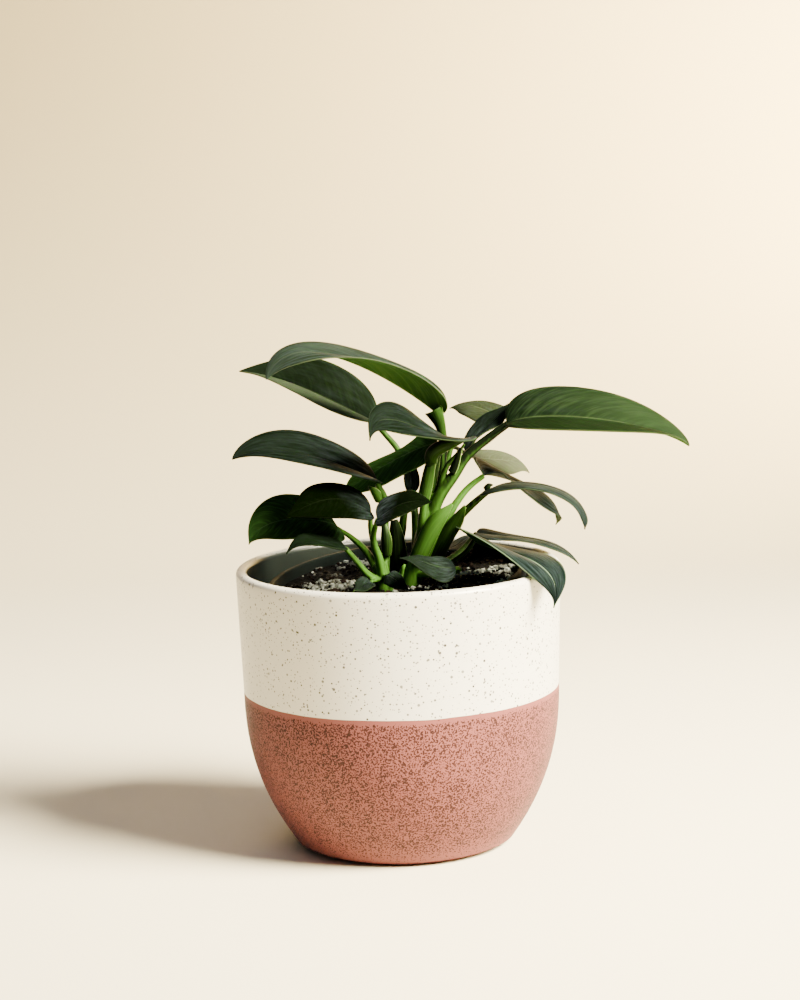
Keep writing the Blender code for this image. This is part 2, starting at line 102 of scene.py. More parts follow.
def new_material(name):
    """An empty material with its shader, ready for nodes."""
    made = bpy.data.materials.new(name)
    made.use_nodes = True
    return made, made.node_tree, made.node_tree.nodes["Principled BSDF"]


def add_piece(name, bm, materials, slot, *stands_for):
    """Makes the finished bmesh an object of the plant."""
    mesh = bpy.data.meshes.new(name)
    bm.to_mesh(mesh)
    bm.free()
    for material in materials:
        mesh.materials.append(material)
    piece = bpy.data.objects.new(name, mesh)
    bpy.context.scene.collection.objects.link(piece)
    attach(piece, "root")
    if stands_for:
        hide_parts(*stands_for)
    return piece


def smooth(piece, degrees=40):
    """Shades the piece smooth, but keeps edges sharper than this angle crisp."""
    piece.data.shade_smooth()
    piece.data.set_sharp_from_angle(angle=math.radians(degrees))


# %% [markdown]
# ## Stage and light
# The pot stands on a pale warm sweep: a floor that curves up into a wall far behind, so that no line shows
# where they meet. One soft lamp stands to the right and in front, a third of the way up the sky, and throws the
# shadow to the left. The rest of the light is warm, weak and comes from everywhere.

# %% Sweep
SWEEP_HALF_WIDTH = 0.9
SWEEP_FRONT = -0.7
SWEEP_BACK = 0.64
SWEEP_BEND = 0.6
SWEEP_TOP = 0.9
bm = bmesh.new()
corner = bm.verts.new((-SWEEP_HALF_WIDTH, SWEEP_FRONT, 0))
line = [corner, bm.verts.new((-SWEEP_HALF_WIDTH, SWEEP_BACK, 0))]
edges = [bm.edges.new(line)]
turn = bmesh.ops.spin(
    bm,
    geom=[line[1]],
    cent=(0, SWEEP_BACK, SWEEP_BEND),
    axis=(1, 0, 0),
    angle=math.radians(90),
    steps=24,
)
last = [item for item in turn["geom_last"] if isinstance(item, bmesh.types.BMVert)][0]
top = bm.verts.new((-SWEEP_HALF_WIDTH, SWEEP_BACK + SWEEP_BEND, SWEEP_TOP))
bm.edges.new((last, top))
swept = bmesh.ops.extrude_edge_only(bm, edges=bm.edges)
moved = [item for item in swept["geom"] if isinstance(item, bmesh.types.BMVert)]
bmesh.ops.translate(bm, verts=moved, vec=(2 * SWEEP_HALF_WIDTH, 0, 0))
bmesh.ops.recalc_face_normals(bm, faces=bm.faces)
sweep_mesh = bpy.data.meshes.new("sweep")
bm.to_mesh(sweep_mesh)
bm.free()
sweep = bpy.data.objects.new("sweep", sweep_mesh)
bpy.context.scene.collection.objects.link(sweep)
sweep_mesh.shade_smooth()
paper, tree, shader = new_material("painted sweep")
shader.inputs["Base Color"].default_value = linear("#cfc6ae")
shader.inputs["Roughness"].default_value = 0.9
sweep_mesh.materials.append(paper)

# %% Lamps and sky
LAMP_FROM_RIGHT = math.radians(27)
LAMP_HEIGHT = math.radians(35)
LAMP_DISTANCE = 1.8
LAMP_SIZE = 1.0
LAMP_POWER = 81.0
LAMP_SPREAD = math.radians(56)
LAMP_AIM = (0.40, -0.14, 0.11)
WALL_LAMP_POWER = 37.0
CEILING_LAMP_POWER = 3.6


def soft_lamp(name, size, power, colour, place, aim, spread):
    """A round soft lamp at a place, facing its aim."""
    light = bpy.data.lights.new(name, "AREA")
    light.shape = "DISK"
    light.size = size
    light.energy = power
    light.color = linear(colour)[:3]
    light.spread = spread
    made = bpy.data.objects.new(name, light)
    bpy.context.scene.collection.objects.link(made)
    made.location = place
    made.rotation_euler = (Vector(place) - Vector(aim)).to_track_quat("Z", "Y").to_euler()


towards_lamp = Vector((math.cos(LAMP_FROM_RIGHT), -math.sin(LAMP_FROM_RIGHT), math.tan(LAMP_HEIGHT)))
plant_centre = Vector((0, 0, 0.12))
key_place = plant_centre + towards_lamp.normalized() * LAMP_DISTANCE
soft_lamp("key lamp", LAMP_SIZE, LAMP_POWER, "#fff3d2", key_place, LAMP_AIM, LAMP_SPREAD)
soft_lamp("wall lamp", 0.5, WALL_LAMP_POWER, "#ffe3a6", (0.85, 0.72, 0.5), (0.2, 1.24, 0.3), math.radians(96))
soft_lamp("ceiling lamp", 1.2, CEILING_LAMP_POWER, "#dfdcf2", (-0.4, -0.15, 1.5), (-0.3, -0.15, 0.0), math.radians(100))
sky = bpy.data.worlds.new("warm room")
sky.use_nodes = True
sky.node_tree.nodes["Background"].inputs["Color"].default_value = linear("#dfe8ff")
sky.node_tree.nodes["Background"].inputs["Strength"].default_value = 0.09
bpy.context.scene.world = sky

# %% [markdown]
# ## Glazed pot
# The pot is stoneware. Its upper part is dipped in a warm white glaze in which grains of iron have bled into
# small grey-brown specks. Its lower part has a thin clay-pink glaze, crowded with short brown flecks that stop
# just below the white. A turned form is a profile spun round the axis, so that is how it is made, with the
# same radii as the plain pot and a finer lip.

# %% Pot profile
POT_HEIGHT = 121.5
POT_FOOT_RADIUS = 46.0
POT_SHOULDER_HEIGHT = 68.5
POT_SHOULDER_RADIUS = 68.3
POT_RIM_RADIUS = 70.0
POT_BELLY_POWER = 2.3
POT_WALL = 4.8
POT_FLOOR = 8.0
POT_FOOT_CHAMFER = 0.8
POT_FOOT_LIFT = 1.2
POT_FOOT_STEP = 3.5
POT_FLOOR_CORNER = 4.0
POT_STEPS = 180


def pot_outer_radius(height):
    """The pot tapers a little to its shoulder, then curves in to the foot."""
    if height >= POT_SHOULDER_HEIGHT:
        share = (height - POT_SHOULDER_HEIGHT) / (POT_HEIGHT - POT_SHOULDER_HEIGHT)
        return POT_SHOULDER_RADIUS + (POT_RIM_RADIUS - POT_SHOULDER_RADIUS) * share
    share = 1 - height / POT_SHOULDER_HEIGHT
    return POT_SHOULDER_RADIUS - (POT_SHOULDER_RADIUS - POT_FOOT_RADIUS) * share**POT_BELLY_POWER


def turned(profile, steps):
    """A closed solid of revolution from (radius, height) points in millimetres."""
    made = bmesh.new()
    points = [made.verts.new(Vector((radius, 0, height)) * MM) for radius, height in profile]
    lines = [made.edges.new(pair) for pair in zip(points[:-1], points[1:])]
    bmesh.ops.spin(
        made, geom=points + lines, axis=(0, 0, 1), cent=(0, 0, 0), angle=math.tau, steps=steps, use_merge=True
    )
    bmesh.ops.remove_doubles(made, verts=made.verts, dist=0.01 * MM)
    bmesh.ops.recalc_face_normals(made, faces=made.faces)
    return made


lip = POT_WALL / 2
lip_height = POT_HEIGHT - lip
lip_centre = pot_outer_radius(lip_height) - lip
inside_heights = np.linspace(POT_FLOOR + POT_FLOOR_CORNER, lip_height - 4, 20)
outside_heights = np.linspace(lip_height - 4, 2.4, 44)
pot_profile = [(0, POT_FLOOR), (pot_outer_radius(POT_FLOOR) - POT_WALL - POT_FLOOR_CORNER, POT_FLOOR)]
pot_profile += [(pot_outer_radius(height) - POT_WALL, height) for height in inside_heights]
for angle in np.linspace(math.pi, 0, 13):
    pot_profile.append((lip_centre + lip * math.cos(angle), lip_height + lip * math.sin(angle)))
pot_profile += [(pot_outer_radius(height), height) for height in outside_heights]
for angle in np.linspace(0, 90, 5):
    turn_in = math.radians(angle)
    radius = POT_FOOT_RADIUS - POT_FOOT_CHAMFER * (1 - math.cos(turn_in))
    pot_profile.append((radius, POT_FOOT_LIFT + POT_FOOT_CHAMFER * (1 - math.sin(turn_in))))
pot_profile += [(POT_FOOT_RADIUS - POT_FOOT_STEP, POT_FOOT_LIFT), (POT_FOOT_RADIUS - POT_FOOT_STEP, 0), (0, 0)]

# %% [markdown]
# The specks are one thin slice through round cells in space, so each has its own size, and many cells hold
# none. The flecks are noise cut at a level, which gives short bent strokes. Both are sized in millimetres.

# %% Speckled glaze
glaze, tree, shader = new_material("glazed stoneware")
place = add_node(tree, "ShaderNodeTexCoord").outputs["Object"]
height = add_node(tree, "ShaderNodeSeparateXYZ", {0: place}).outputs["Z"]
wobble = add_node(tree, "ShaderNodeTexNoise", {"Vector": place, "Scale": 45.0, "Detail": 2.0}).outputs["Fac"]
GLAZE_LINE = POT_SHOULDER_HEIGHT * MM
edge = add_node(tree, "ShaderNodeMath", {0: wobble, 1: 0.0009, 2: height}, operation="MULTIPLY_ADD").outputs[0]
white_part = add_node(
    tree,
    "ShaderNodeMapRange",
    {"Value": edge, "From Min": GLAZE_LINE + 0.0003, "From Max": GLAZE_LINE + 0.0006},
    interpolation_type="SMOOTHSTEP",
).outputs["Result"]
speck_masks = []
for cell, smallest, largest, share, seed in ((2.3, 0.02, 0.70, 0.30, 0.0), (1.3, 0.02, 0.46, 0.20, 7.0), (1.7, 0.02, 0.55, 0.30, 3.0)):
    shifted = add_node(tree, "ShaderNodeMapping", {"Vector": place, "Location": (seed, 0, 0)}).outputs[0]
    cells = add_node(tree, "ShaderNodeTexVoronoi", {"Vector": shifted, "Scale": 1000 / cell})
    chance = add_node(tree, "ShaderNodeSeparateColor", {0: cells.outputs["Color"]})
    radius = add_node(
        tree,
        "ShaderNodeMapRange",
        {
            "Value": chance.outputs["Red"],
            "From Min": share,
            "From Max": 1.0,
            "To Min": -smallest / cell,
            "To Max": largest / cell,
        },
        clamp=False,
    ).outputs["Result"]
    depth = add_node(tree, "ShaderNodeMath", {0: radius, 1: cells.outputs["Distance"]}, operation="SUBTRACT").outputs[0]
    mask = add_node(
        tree,
        "ShaderNodeMapRange",
        {"Value": depth, "From Min": 0.0, "From Max": 0.09 / cell, "To Max": 1.0},
        interpolation_type="SMOOTHSTEP",
    ).outputs["Result"]
    tone = add_node(
        tree, "ShaderNodeMapRange", {"Value": chance.outputs["Green"], "To Min": 0.7, "To Max": 1.0}
    ).outputs["Result"]
    speck_masks.append(add_node(tree, "ShaderNodeMath", {0: mask, 1: tone}, operation="MULTIPLY").outputs[0])
specks = speck_masks[0]
for mask in speck_masks[1:]:
    specks = add_node(tree, "ShaderNodeMath", {0: specks, 1: mask}, operation="MAXIMUM").outputs[0]
cloud = add_node(tree, "ShaderNodeTexNoise", {"Vector": place, "Scale": 28.0, "Detail": 3.0}).outputs["Fac"]
white = add_node(
    tree, "ShaderNodeMix", {0: cloud, 6: linear("#c1beb5"), 7: linear("#cbc8c0")}, data_type="RGBA"
).outputs[2]
speckled = add_node(tree, "ShaderNodeMix", {0: specks, 6: white, 7: linear("#1d160f")}, data_type="RGBA").outputs[2]
outwards = add_node(tree, "ShaderNodeVectorMath", {0: place, 1: (1.0, 1.0, 0.0)}, operation="MULTIPLY").outputs[0]
axis_distance = add_node(tree, "ShaderNodeVectorMath", {0: outwards}, operation="LENGTH").outputs["Value"]
# Painted shade: inside the pot, from just under the lip down, the wall is painted a dark grey-green where shade falls
# into the pot.
under_lip = add_node(
    tree,
    "ShaderNodeMapRange",
    {"Value": height, "From Min": 0.1215, "From Max": 0.1203, "To Min": 0.0, "To Max": 1.0},
    interpolation_type="SMOOTHSTEP",
).outputs["Result"]
inside = add_node(
    tree, "ShaderNodeMapRange", {"Value": axis_distance, "From Min": 0.0672, "From Max": 0.0660}
).outputs["Result"]
upper = add_node(tree, "ShaderNodeMath", {0: height, 1: GLAZE_LINE}, operation="GREATER_THAN").outputs[0]
inside = add_node(tree, "ShaderNodeMath", {0: inside, 1: upper}, operation="MULTIPLY").outputs[0]
painted_inner_shade = add_node(tree, "ShaderNodeMath", {0: under_lip, 1: inside}, operation="MULTIPLY").outputs[0]
fine = add_node(
    tree, "ShaderNodeTexNoise", {"Vector": place, "Scale": 1450.0, "Detail": 1.5, "Roughness": 0.55}
).outputs["Fac"]
patch = add_node(tree, "ShaderNodeTexNoise", {"Vector": place, "Scale": 90.0, "Detail": 2.0}).outputs["Fac"]
level = add_node(
    tree, "ShaderNodeMapRange", {"Value": patch, "From Min": 0.3, "From Max": 0.7, "To Min": 0.52, "To Max": 0.475}
).outputs["Result"]
clear_above = add_node(
    tree,
    "ShaderNodeMapRange",
    {"Value": edge, "From Min": GLAZE_LINE - 0.0022, "From Max": GLAZE_LINE - 0.0006, "To Min": 0.0, "To Max": 0.2},
).outputs["Result"]
clear_below = add_node(
    tree, "ShaderNodeMapRange", {"Value": edge, "From Min": 0.003, "From Max": 0.011, "To Min": 0.12, "To Max": 0.0}
).outputs["Result"]
cut = add_node(tree, "ShaderNodeMath", {0: level, 1: clear_above}, operation="ADD").outputs[0]
cut = add_node(tree, "ShaderNodeMath", {0: cut, 1: clear_below}, operation="ADD").outputs[0]
over = add_node(tree, "ShaderNodeMath", {0: fine, 1: cut}, operation="SUBTRACT").outputs[0]
flecks = add_node(
    tree, "ShaderNodeMapRange", {"Value": over, "From Min": 0.0, "From Max": 0.03}, interpolation_type="SMOOTHSTEP"
).outputs["Result"]
pink = add_node(
    tree, "ShaderNodeMix", {0: cloud, 6: linear("#6a3c3a"), 7: linear("#724240")}, data_type="RGBA"
).outputs[2]
flecked = add_node(tree, "ShaderNodeMix", {0: flecks, 6: pink, 7: linear("#2a1614")}, data_type="RGBA").outputs[2]
banded = add_node(tree, "ShaderNodeMix", {0: white_part, 6: flecked, 7: speckled}, data_type="RGBA").outputs[2]
# The dark inside of the pot is painted shade.
finish = add_node(tree, "ShaderNodeMix", {0: painted_inner_shade, 6: banded, 7: linear("#272e2b")}, data_type="RGBA").outputs[2]
tree.links.new(finish, shader.inputs["Base Color"])
gloss = add_node(tree, "ShaderNodeMapRange", {"Value": white_part, "To Min": 0.55, "To Max": 0.32}).outputs["Result"]
tree.links.new(gloss, shader.inputs["Roughness"])
step_up = add_node(tree, "ShaderNodeMath", {0: flecks, 1: 0.25, 2: white_part}, operation="MULTIPLY_ADD").outputs[0]
raised = add_node(tree, "ShaderNodeBump", {"Height": step_up, "Strength": 0.35, "Distance": 0.00025})
tree.links.new(raised.outputs["Normal"], shader.inputs["Normal"])
glossy = add_node(tree, "ShaderNodeMapRange", {"Value": white_part, "To Min": 0.12, "To Max": 0.5}).outputs["Result"]
tree.links.new(glossy, shader.inputs["Specular IOR Level"])
shader.inputs["IOR"].default_value = 1.5

# %% Pot
pot = add_piece("glazed_pot", turned(pot_profile, POT_STEPS), [glaze], "glazed_stoneware", "ceramic_pot")
smooth(pot)
print("pot faces:", len(pot.data.polygons))

# %% [markdown]
# ## Nursery pot
# The plant still stands in the thin black pot that it was grown in, pushed down crooked, so its rolled rim
# shows above the soil at the back and left. It is moulded polypropylene: nearly black, with a soft shine that
# draws a pale line along the rim.

# %% Nursery pot
NURSERY_BASE_CENTRE = (6.8, 6.1, 12.4)
NURSERY_RIM_CENTRE = (-1.0, -2.0, 117.0)
NURSERY_RISE_TO_RIGHT = math.radians(4.3)
NURSERY_RISE_TO_BACK = math.radians(4.5)
NURSERY_BASE_RADIUS = 38.0
NURSERY_RIM_RADIUS = 56.0
NURSERY_HEIGHT = 105.2
NURSERY_WALL = 1.2
NURSERY_BAND_HEIGHT = 4.5
NURSERY_BAND_STEP = 1.2
NURSERY_STEPS = 144
seat = Matrix.Translation(Vector(NURSERY_BASE_CENTRE) * MM) @ Euler(
    (NURSERY_RISE_TO_BACK, -NURSERY_RISE_TO_RIGHT, 0)
).to_matrix().to_4x4()


def nursery_inner_radius(height):
    share = height / NURSERY_HEIGHT
    outer = NURSERY_BASE_RADIUS + (NURSERY_RIM_RADIUS - NURSERY_BAND_STEP - NURSERY_BASE_RADIUS) * share
    return outer - NURSERY_WALL


band_foot = NURSERY_HEIGHT - NURSERY_BAND_HEIGHT
roll = NURSERY_WALL / 2
nursery_profile = [(0, NURSERY_WALL), (nursery_inner_radius(NURSERY_WALL), NURSERY_WALL)]
nursery_profile += [(nursery_inner_radius(level), level) for level in np.linspace(20, NURSERY_HEIGHT - 1.5, 6)]
top_inside = nursery_inner_radius(NURSERY_HEIGHT)
for angle in np.linspace(math.pi, math.pi / 2, 5):
    nursery_profile.append((top_inside + roll + roll * math.cos(angle), NURSERY_HEIGHT - roll + roll * math.sin(angle)))
for angle in np.linspace(math.pi / 2, 0, 5):
    nursery_profile.append(
        (NURSERY_RIM_RADIUS - roll + roll * math.cos(angle), NURSERY_HEIGHT - roll + roll * math.sin(angle))
    )
nursery_profile += [
    (NURSERY_RIM_RADIUS, band_foot + 0.3),
    (NURSERY_RIM_RADIUS - 0.3, band_foot),
    (nursery_inner_radius(band_foot) + NURSERY_WALL, band_foot),
    (NURSERY_BASE_RADIUS + 0.3, 0.6),
    (NURSERY_BASE_RADIUS - 0.6, 0),
    (0, 0),
]
plastic, tree, shader = new_material("moulded black polypropylene")
place = add_node(tree, "ShaderNodeTexCoord").outputs["Object"]
dust = add_node(tree, "ShaderNodeTexNoise", {"Vector": place, "Scale": 220.0, "Detail": 4.0}).outputs["Fac"]
black = add_node(tree, "ShaderNodeMix", {0: dust, 6: linear("#060707"), 7: linear("#131514")}, data_type="RGBA")
tree.links.new(black.outputs[2], shader.inputs["Base Color"])
dull = add_node(tree, "ShaderNodeMapRange", {"Value": dust, "To Min": 0.42, "To Max": 0.6}).outputs["Result"]
tree.links.new(dull, shader.inputs["Roughness"])
shader.inputs["Specular IOR Level"].default_value = 0.2
shader.inputs["Specular Tint"].default_value = linear("#9cc8c4")
bm = turned(nursery_profile, NURSERY_STEPS)
bmesh.ops.transform(bm, matrix=seat, verts=bm.verts)
nursery = add_piece("growing_pot", bm, [plastic], "black_plastic", "nursery_pot")
smooth(nursery, 30)

# %% [markdown]
# ## Soil
# Potting mix is peat and bark, nearly black where it is moist, with white grains of perlite and a few reddish
# chips of bark. The surface is a disc raised by noise at two sizes. The chips and grains lie loose on it, as
# small rough stones of a few faces each, and many share one mesh.

# %% Soil surface
SOIL_BELOW_RIM = 4.5
SOIL_RINGS = 54
SOIL_STEPS = 180
soil_level = NURSERY_HEIGHT - SOIL_BELOW_RIM
soil_bottom = NURSERY_WALL + 0.3
to_seat = seat.inverted()


def soil_relief(across, back):
    """Height of the loose surface above its level, at a place in the nursery pot, in millimetres."""
    broad = noise.noise(Vector((across / 9, back / 9, 0.3)))
    lumps = noise.noise(Vector((across / 3.2, back / 3.2, 4.1)))
    crumbs = noise.noise(Vector((across / 1.3, back / 1.3, 8.7)))
    return 0.9 * broad + 0.8 * lumps + 0.45 * crumbs


soil_profile = [(0, soil_bottom), (nursery_inner_radius(soil_bottom) - 0.3, soil_bottom)]
soil_edge = nursery_inner_radius(soil_level) - 0.3
soil_profile.append((soil_edge, soil_level))
soil_profile += [(radius, soil_level) for radius in np.linspace(soil_edge - 0.8, 0, SOIL_RINGS)]
bm = turned(soil_profile, SOIL_STEPS)
for vert in bm.verts:
    if vert.co.z > (soil_level - 1) * MM and vert.co.xy.length < (soil_edge - 0.4) * MM:
        vert.co.z += soil_relief(vert.co.x / MM, vert.co.y / MM) * MM
bmesh.ops.transform(bm, matrix=seat, verts=bm.verts)
humus, tree, shader = new_material("moist peat and bark")
place = add_node(tree, "ShaderNodeTexCoord").outputs["Object"]
crumb = add_node(tree, "ShaderNodeTexNoise", {"Vector": place, "Scale": 700.0, "Detail": 6.0, "Roughness": 0.7})
dark = add_node(
    tree, "ShaderNodeMix", {0: crumb.outputs["Fac"], 6: linear("#020202"), 7: linear("#0a0806")}, data_type="RGBA"
).outputs[2]
grit = add_node(tree, "ShaderNodeTexVoronoi", {"Vector": place, "Scale": 620.0})
grit_tone = add_node(tree, "ShaderNodeSeparateColor", {0: grit.outputs["Color"]}).outputs["Red"]
pale = add_node(tree, "ShaderNodeMapRange", {"Value": grit_tone, "From Min": 0.93, "From Max": 0.97}).outputs["Result"]
mixed = add_node(tree, "ShaderNodeMix", {0: pale, 6: dark, 7: linear("#3c3a33")}, data_type="RGBA").outputs[2]
tree.links.new(mixed, shader.inputs["Base Color"])
shader.inputs["Roughness"].default_value = 0.85
shader.inputs["Specular IOR Level"].default_value = 0.1
bumps = add_node(
    tree, "ShaderNodeBump", {"Height": crumb.outputs["Fac"], "Strength": 0.8, "Distance": 0.0008}
).outputs["Normal"]
tree.links.new(bumps, shader.inputs["Normal"])
soil = add_piece("soil_surface", bm, [humus], "potting_soil", "soil")
smooth(soil, 60)


def soil_top(across, back):
    """Height of the soil at a place in the world, in millimetres."""
    rise = math.tan(NURSERY_RISE_TO_RIGHT) * (across - NURSERY_RIM_CENTRE[0])
    rise += math.tan(NURSERY_RISE_TO_BACK) * (back - NURSERY_RIM_CENTRE[1])
    local = to_seat @ (Vector((across, back, NURSERY_RIM_CENTRE[2] - SOIL_BELOW_RIM)) * MM)
    return NURSERY_RIM_CENTRE[2] - SOIL_BELOW_RIM + rise + soil_relief(local.x / MM, local.y / MM)


# %% Perlite and bark
GrainBed = namedtuple("GrainBed", "centre spread count")
PERLITE_BEDS = (
    GrainBed((-30, 5), (11, 8), 190),
    GrainBed((10, -42), (8, 4), 26),
    GrainBed((-21, 40), (8, 7), 26),
    GrainBed((12, -12), (9, 3), 16),
    GrainBed((34, 2), (14, 4), 150),
    GrainBed((46, 6), (5, 4), 18),
    GrainBed((45, -14), (4, 7), 44),
    GrainBed((8, 34), (24, 10), 24),
    GrainBed((0, 0), (44, 44), 70),
)
BARK_BEDS = (GrainBed((0, 0), (46, 46), 420), GrainBed((30, -4), (16, 8), 90), GrainBed((-30, 6), (14, 9), 60))
GRAIN_REACH = 50.5


def strew(beds, sizes, flatness, seed):
    """Small rough stones, laid on the soil in each bed at random."""
    draw = random.Random(seed)
    made = bmesh.new()
    for bed in beds:
        for _ in range(bed.count):
            across = bed.centre[0] + bed.spread[0] * draw.uniform(-1, 1)
            back = bed.centre[1] + bed.spread[1] * draw.uniform(-1, 1)
            size = draw.uniform(*sizes) * draw.uniform(0.6, 1.0)
            shrink = min(1, GRAIN_REACH / max(math.hypot(across, back), 1))
            across *= shrink
            back *= shrink
            stone = bmesh.ops.create_icosphere(made, subdivisions=1, radius=size * MM)["verts"]
            for vert in stone:
                vert.co *= draw.uniform(0.72, 1.18)
            squash = Matrix.Diagonal((draw.uniform(0.8, 1.25), draw.uniform(0.6, 1), draw.uniform(*flatness), 1))
            turn = Euler([draw.uniform(-0.5, 0.5), draw.uniform(-0.5, 0.5), draw.uniform(0, math.tau)])
            rest = Vector((across, back, soil_top(across, back) + 0.25 * size)) * MM
            matrix = Matrix.Translation(rest) @ turn.to_matrix().to_4x4() @ squash
            bmesh.ops.transform(made, matrix=matrix, verts=stone)
    return made


perlite, tree, shader = new_material("expanded perlite")
place = add_node(tree, "ShaderNodeTexCoord").outputs["Object"]
stain = add_node(tree, "ShaderNodeTexNoise", {"Vector": place, "Scale": 260.0, "Detail": 3.0}).outputs["Fac"]
stained = add_node(
    tree, "ShaderNodeMapRange", {"Value": stain, "From Min": 0.4, "From Max": 0.62}, interpolation_type="SMOOTHSTEP"
).outputs["Result"]
tone = add_node(tree, "ShaderNodeMix", {0: stained, 6: linear("#a0a69f"), 7: linear("#474943")}, data_type="RGBA")
tree.links.new(tone.outputs[2], shader.inputs["Base Color"])
shader.inputs["Roughness"].default_value = 0.9
bark, tree, shader = new_material("composted bark")
place = add_node(tree, "ShaderNodeTexCoord").outputs["Object"]
kind = add_node(tree, "ShaderNodeTexNoise", {"Vector": place, "Scale": 160.0, "Detail": 2.0}).outputs["Fac"]
kinds = add_node(tree, "ShaderNodeMapRange", {"Value": kind, "From Min": 0.42, "From Max": 0.66}).outputs["Result"]
tone = add_node(tree, "ShaderNodeMix", {0: kinds, 6: linear("#050403"), 7: linear("#1c110b")}, data_type="RGBA")
tree.links.new(tone.outputs[2], shader.inputs["Base Color"])
shader.inputs["Roughness"].default_value = 0.8
shader.inputs["Specular IOR Level"].default_value = 0.1
perlite_grains = add_piece("perlite_grains", strew(PERLITE_BEDS, (0.7, 2.1), (0.6, 0.95), 7), [perlite], "potting_soil")
bark_chips = add_piece("bark_chips", strew(BARK_BEDS, (0.8, 2.4), (0.3, 0.7), 19), [bark], "potting_soil")
print("perlite and bark faces:", len(perlite_grains.data.polygons), len(bark_chips.data.polygons))

# %% [markdown]
# ## Leaves
# A philodendron leaf is a stiff thin blade, folded along its midrib like an open book, drawn out to a hooked
# point. Each blade starts as a flat grid. One function bends a place on the grid, given as its share of the
# way to the tip and how far it lies across, into the leaf's own curve. The grid's own map keeps those two
# numbers, so veins can follow the blade however it bends.

# %% Leaf form
BLADE_THICKNESS = 0.5
BLADE_ROWS = 60
BLADE_COLUMNS = 22
BLADE_END_HALF_WIDTH = 0.25
BLADE_BASE_FULLNESS = 0.5
BLADE_BOW = 0.22
BLADE_LOBE = 0.16
BLADE_RIPPLE = 0.35
BLADE_RIPPLE_TURNS = 9.0
MIDRIB_GROOVE = 0.30
MIDRIB_HALF_WIDTH = 0.045
Leaf = namedtuple("Leaf", "midrib half_width taper front back")
LEAVES = {
    "leaf_top_back": Leaf(
        ((-9, 28, 180), (-30, 35, 190), (-47, 41, 197), (-68, 45, 202)), 16, 0.9, (0, 2, 8), (50, 65, 59)),
    "leaf_top_arching": Leaf(
        ((20, 6, 184), (-2, 2, 201), (-32, -5, 214), (-53, -14, 204)), 14.5, 0.9, (47, 12, -60), (75, 23, 29)),
    "leaf_top_right": Leaf(
        ((49, 4, 180), (71, 0, 183), (102, -5, 179), (125, -10, 170)), 18.5, 0.8, (0, -10, 25), (43, 36, 18)),
    "leaf_top_right_young": Leaf(
        ((32, 7, 168), (38, 12, 176), (44, 15, 181), (50, 19, 187)), 6.5, 1.0, (60, -8, -40), (0, 34, 50)),
    "leaf_centre_front": Leaf(
        ((29, -4, 174), (16, -14, 179), (-1, -26, 187), (-10, -38, 180)), 14.8, 1.2, (24, -21, -60), (0, 36, 70)),
    "leaf_left_long": Leaf(
        ((-8, -3, 157), (-25, -10, 167), (-47, -17, 174), (-68, -24, 172)), 14.3, 0.8, (7, -14, 1), (37, 38, 52)),
    "leaf_middle_back": Leaf(
        ((18.5, 5.5, 172.5), (5, 9, 167.5), (-9, 11, 160), (-22, 13, 151)), 13, 0.8, (-41, -33, -49), (62, 11, 70)),
    "leaf_left_round": Leaf(
        ((-11, -12, 146), (-23, -20, 153), (-34, -27, 153), (-46, -33, 148)), 14, 1.1, (-22, -34, -45), (47, 23, 42)),
    "leaf_left_low": Leaf(
        ((-26, 4, 138), (-38, -2, 142), (-53, -8, 142), (-63, -14, 134)), 18, 1.2, (-27, -24, -65), (25, 35, 65)),
    "leaf_left_rim": Leaf(
        ((-22, -24, 133), (-31, -30, 136), (-39, -35, 138), (-46, -40, 134)), 6.8, 1.2, (0, -10, -8), (42, 27, 29)),
    "leaf_centre_small": Leaf(
        ((-8, -23, 145), (-1, -27, 150), (6, -31, 153), (15, -35, 153)), 10, 1.1, (-31, -35, -50), (58, 32, 36)),
    "leaf_right_far": Leaf(
        ((25, 16, 170), (37, 30, 162), (50, 41, 159), (60, 49, 152)), 11.3, 1.1, (-11, -37, -65), (21, 19, 55)),
    "leaf_right_arched": Leaf(
        ((39, -10, 153), (52, -16, 157), (71, -21, 153), (79, -25, 138)), 12.2, 1.1, (-13, -3, -6), (-4, -9, -12)),
    "leaf_right_behind": Leaf(
        ((38, 3, 158), (49, 12, 155), (66, 20, 145), (70, 26, 132)), 12.5, 1.2, (18, -29, -65), (68, 9, 70)),
    "leaf_right_low": Leaf(
        ((35, 22, 130), (50, 20, 128), (66, 18, 125), (79, 15, 116)), 12.2, 1.2, (-3, 1, -10), (11, -7, 7)),
    "leaf_right_hanging": Leaf(
        ((33, -2, 131), (44, -19.5, 129.3), (60, -37.5, 124.7), (63.6, -51.5, 110.2)), 16.6, 1.2, (41, 16, -32), (-15, -5, 11)),
    "leaf_back_low": Leaf(
        ((21, 28, 122), (27, 34, 123), (32, 40, 125), (37, 44, 124)), 8.5, 1.1, (0, 0, -10), (-11, -16, 16)),
    "leaf_top_far": Leaf(
        ((48, 20, 180), (41, 28, 183), (33, 36, 185), (25, 42, 183)), 10.4, 1.1, (-17, -18, -42), (12, 7, 9)),
    "leaf_foot_front": Leaf(
        ((24, -24, 123), (16, -29, 125), (10, -33, 128), (1, -36, 130)), 6.9, 1.1, (-65, -60, -42), (56, 24, 26)),
    "leaf_foot_left": Leaf(
        ((-12, -18, 117), (-14, -22, 117), (-16, -26, 116), (-19, -31, 116)), 4, 1.1, (-20, -20, -20), (40, 30, 20)),
    "leaf_foot_middle": Leaf(
        ((-5, -21, 120), (-3, -23, 120), (0, -25, 118), (4, -27, 115)), 4.5, 0.9, (-50, -50, -40), (20, 15, 10)),
    "leaf_centre_young": Leaf(
        ((7, 8, 151), (7, 9, 156), (7, 11, 161), (8, 13, 165)), 3.6, 1.0, (20, 10, 0), (20, 10, 0)),
}


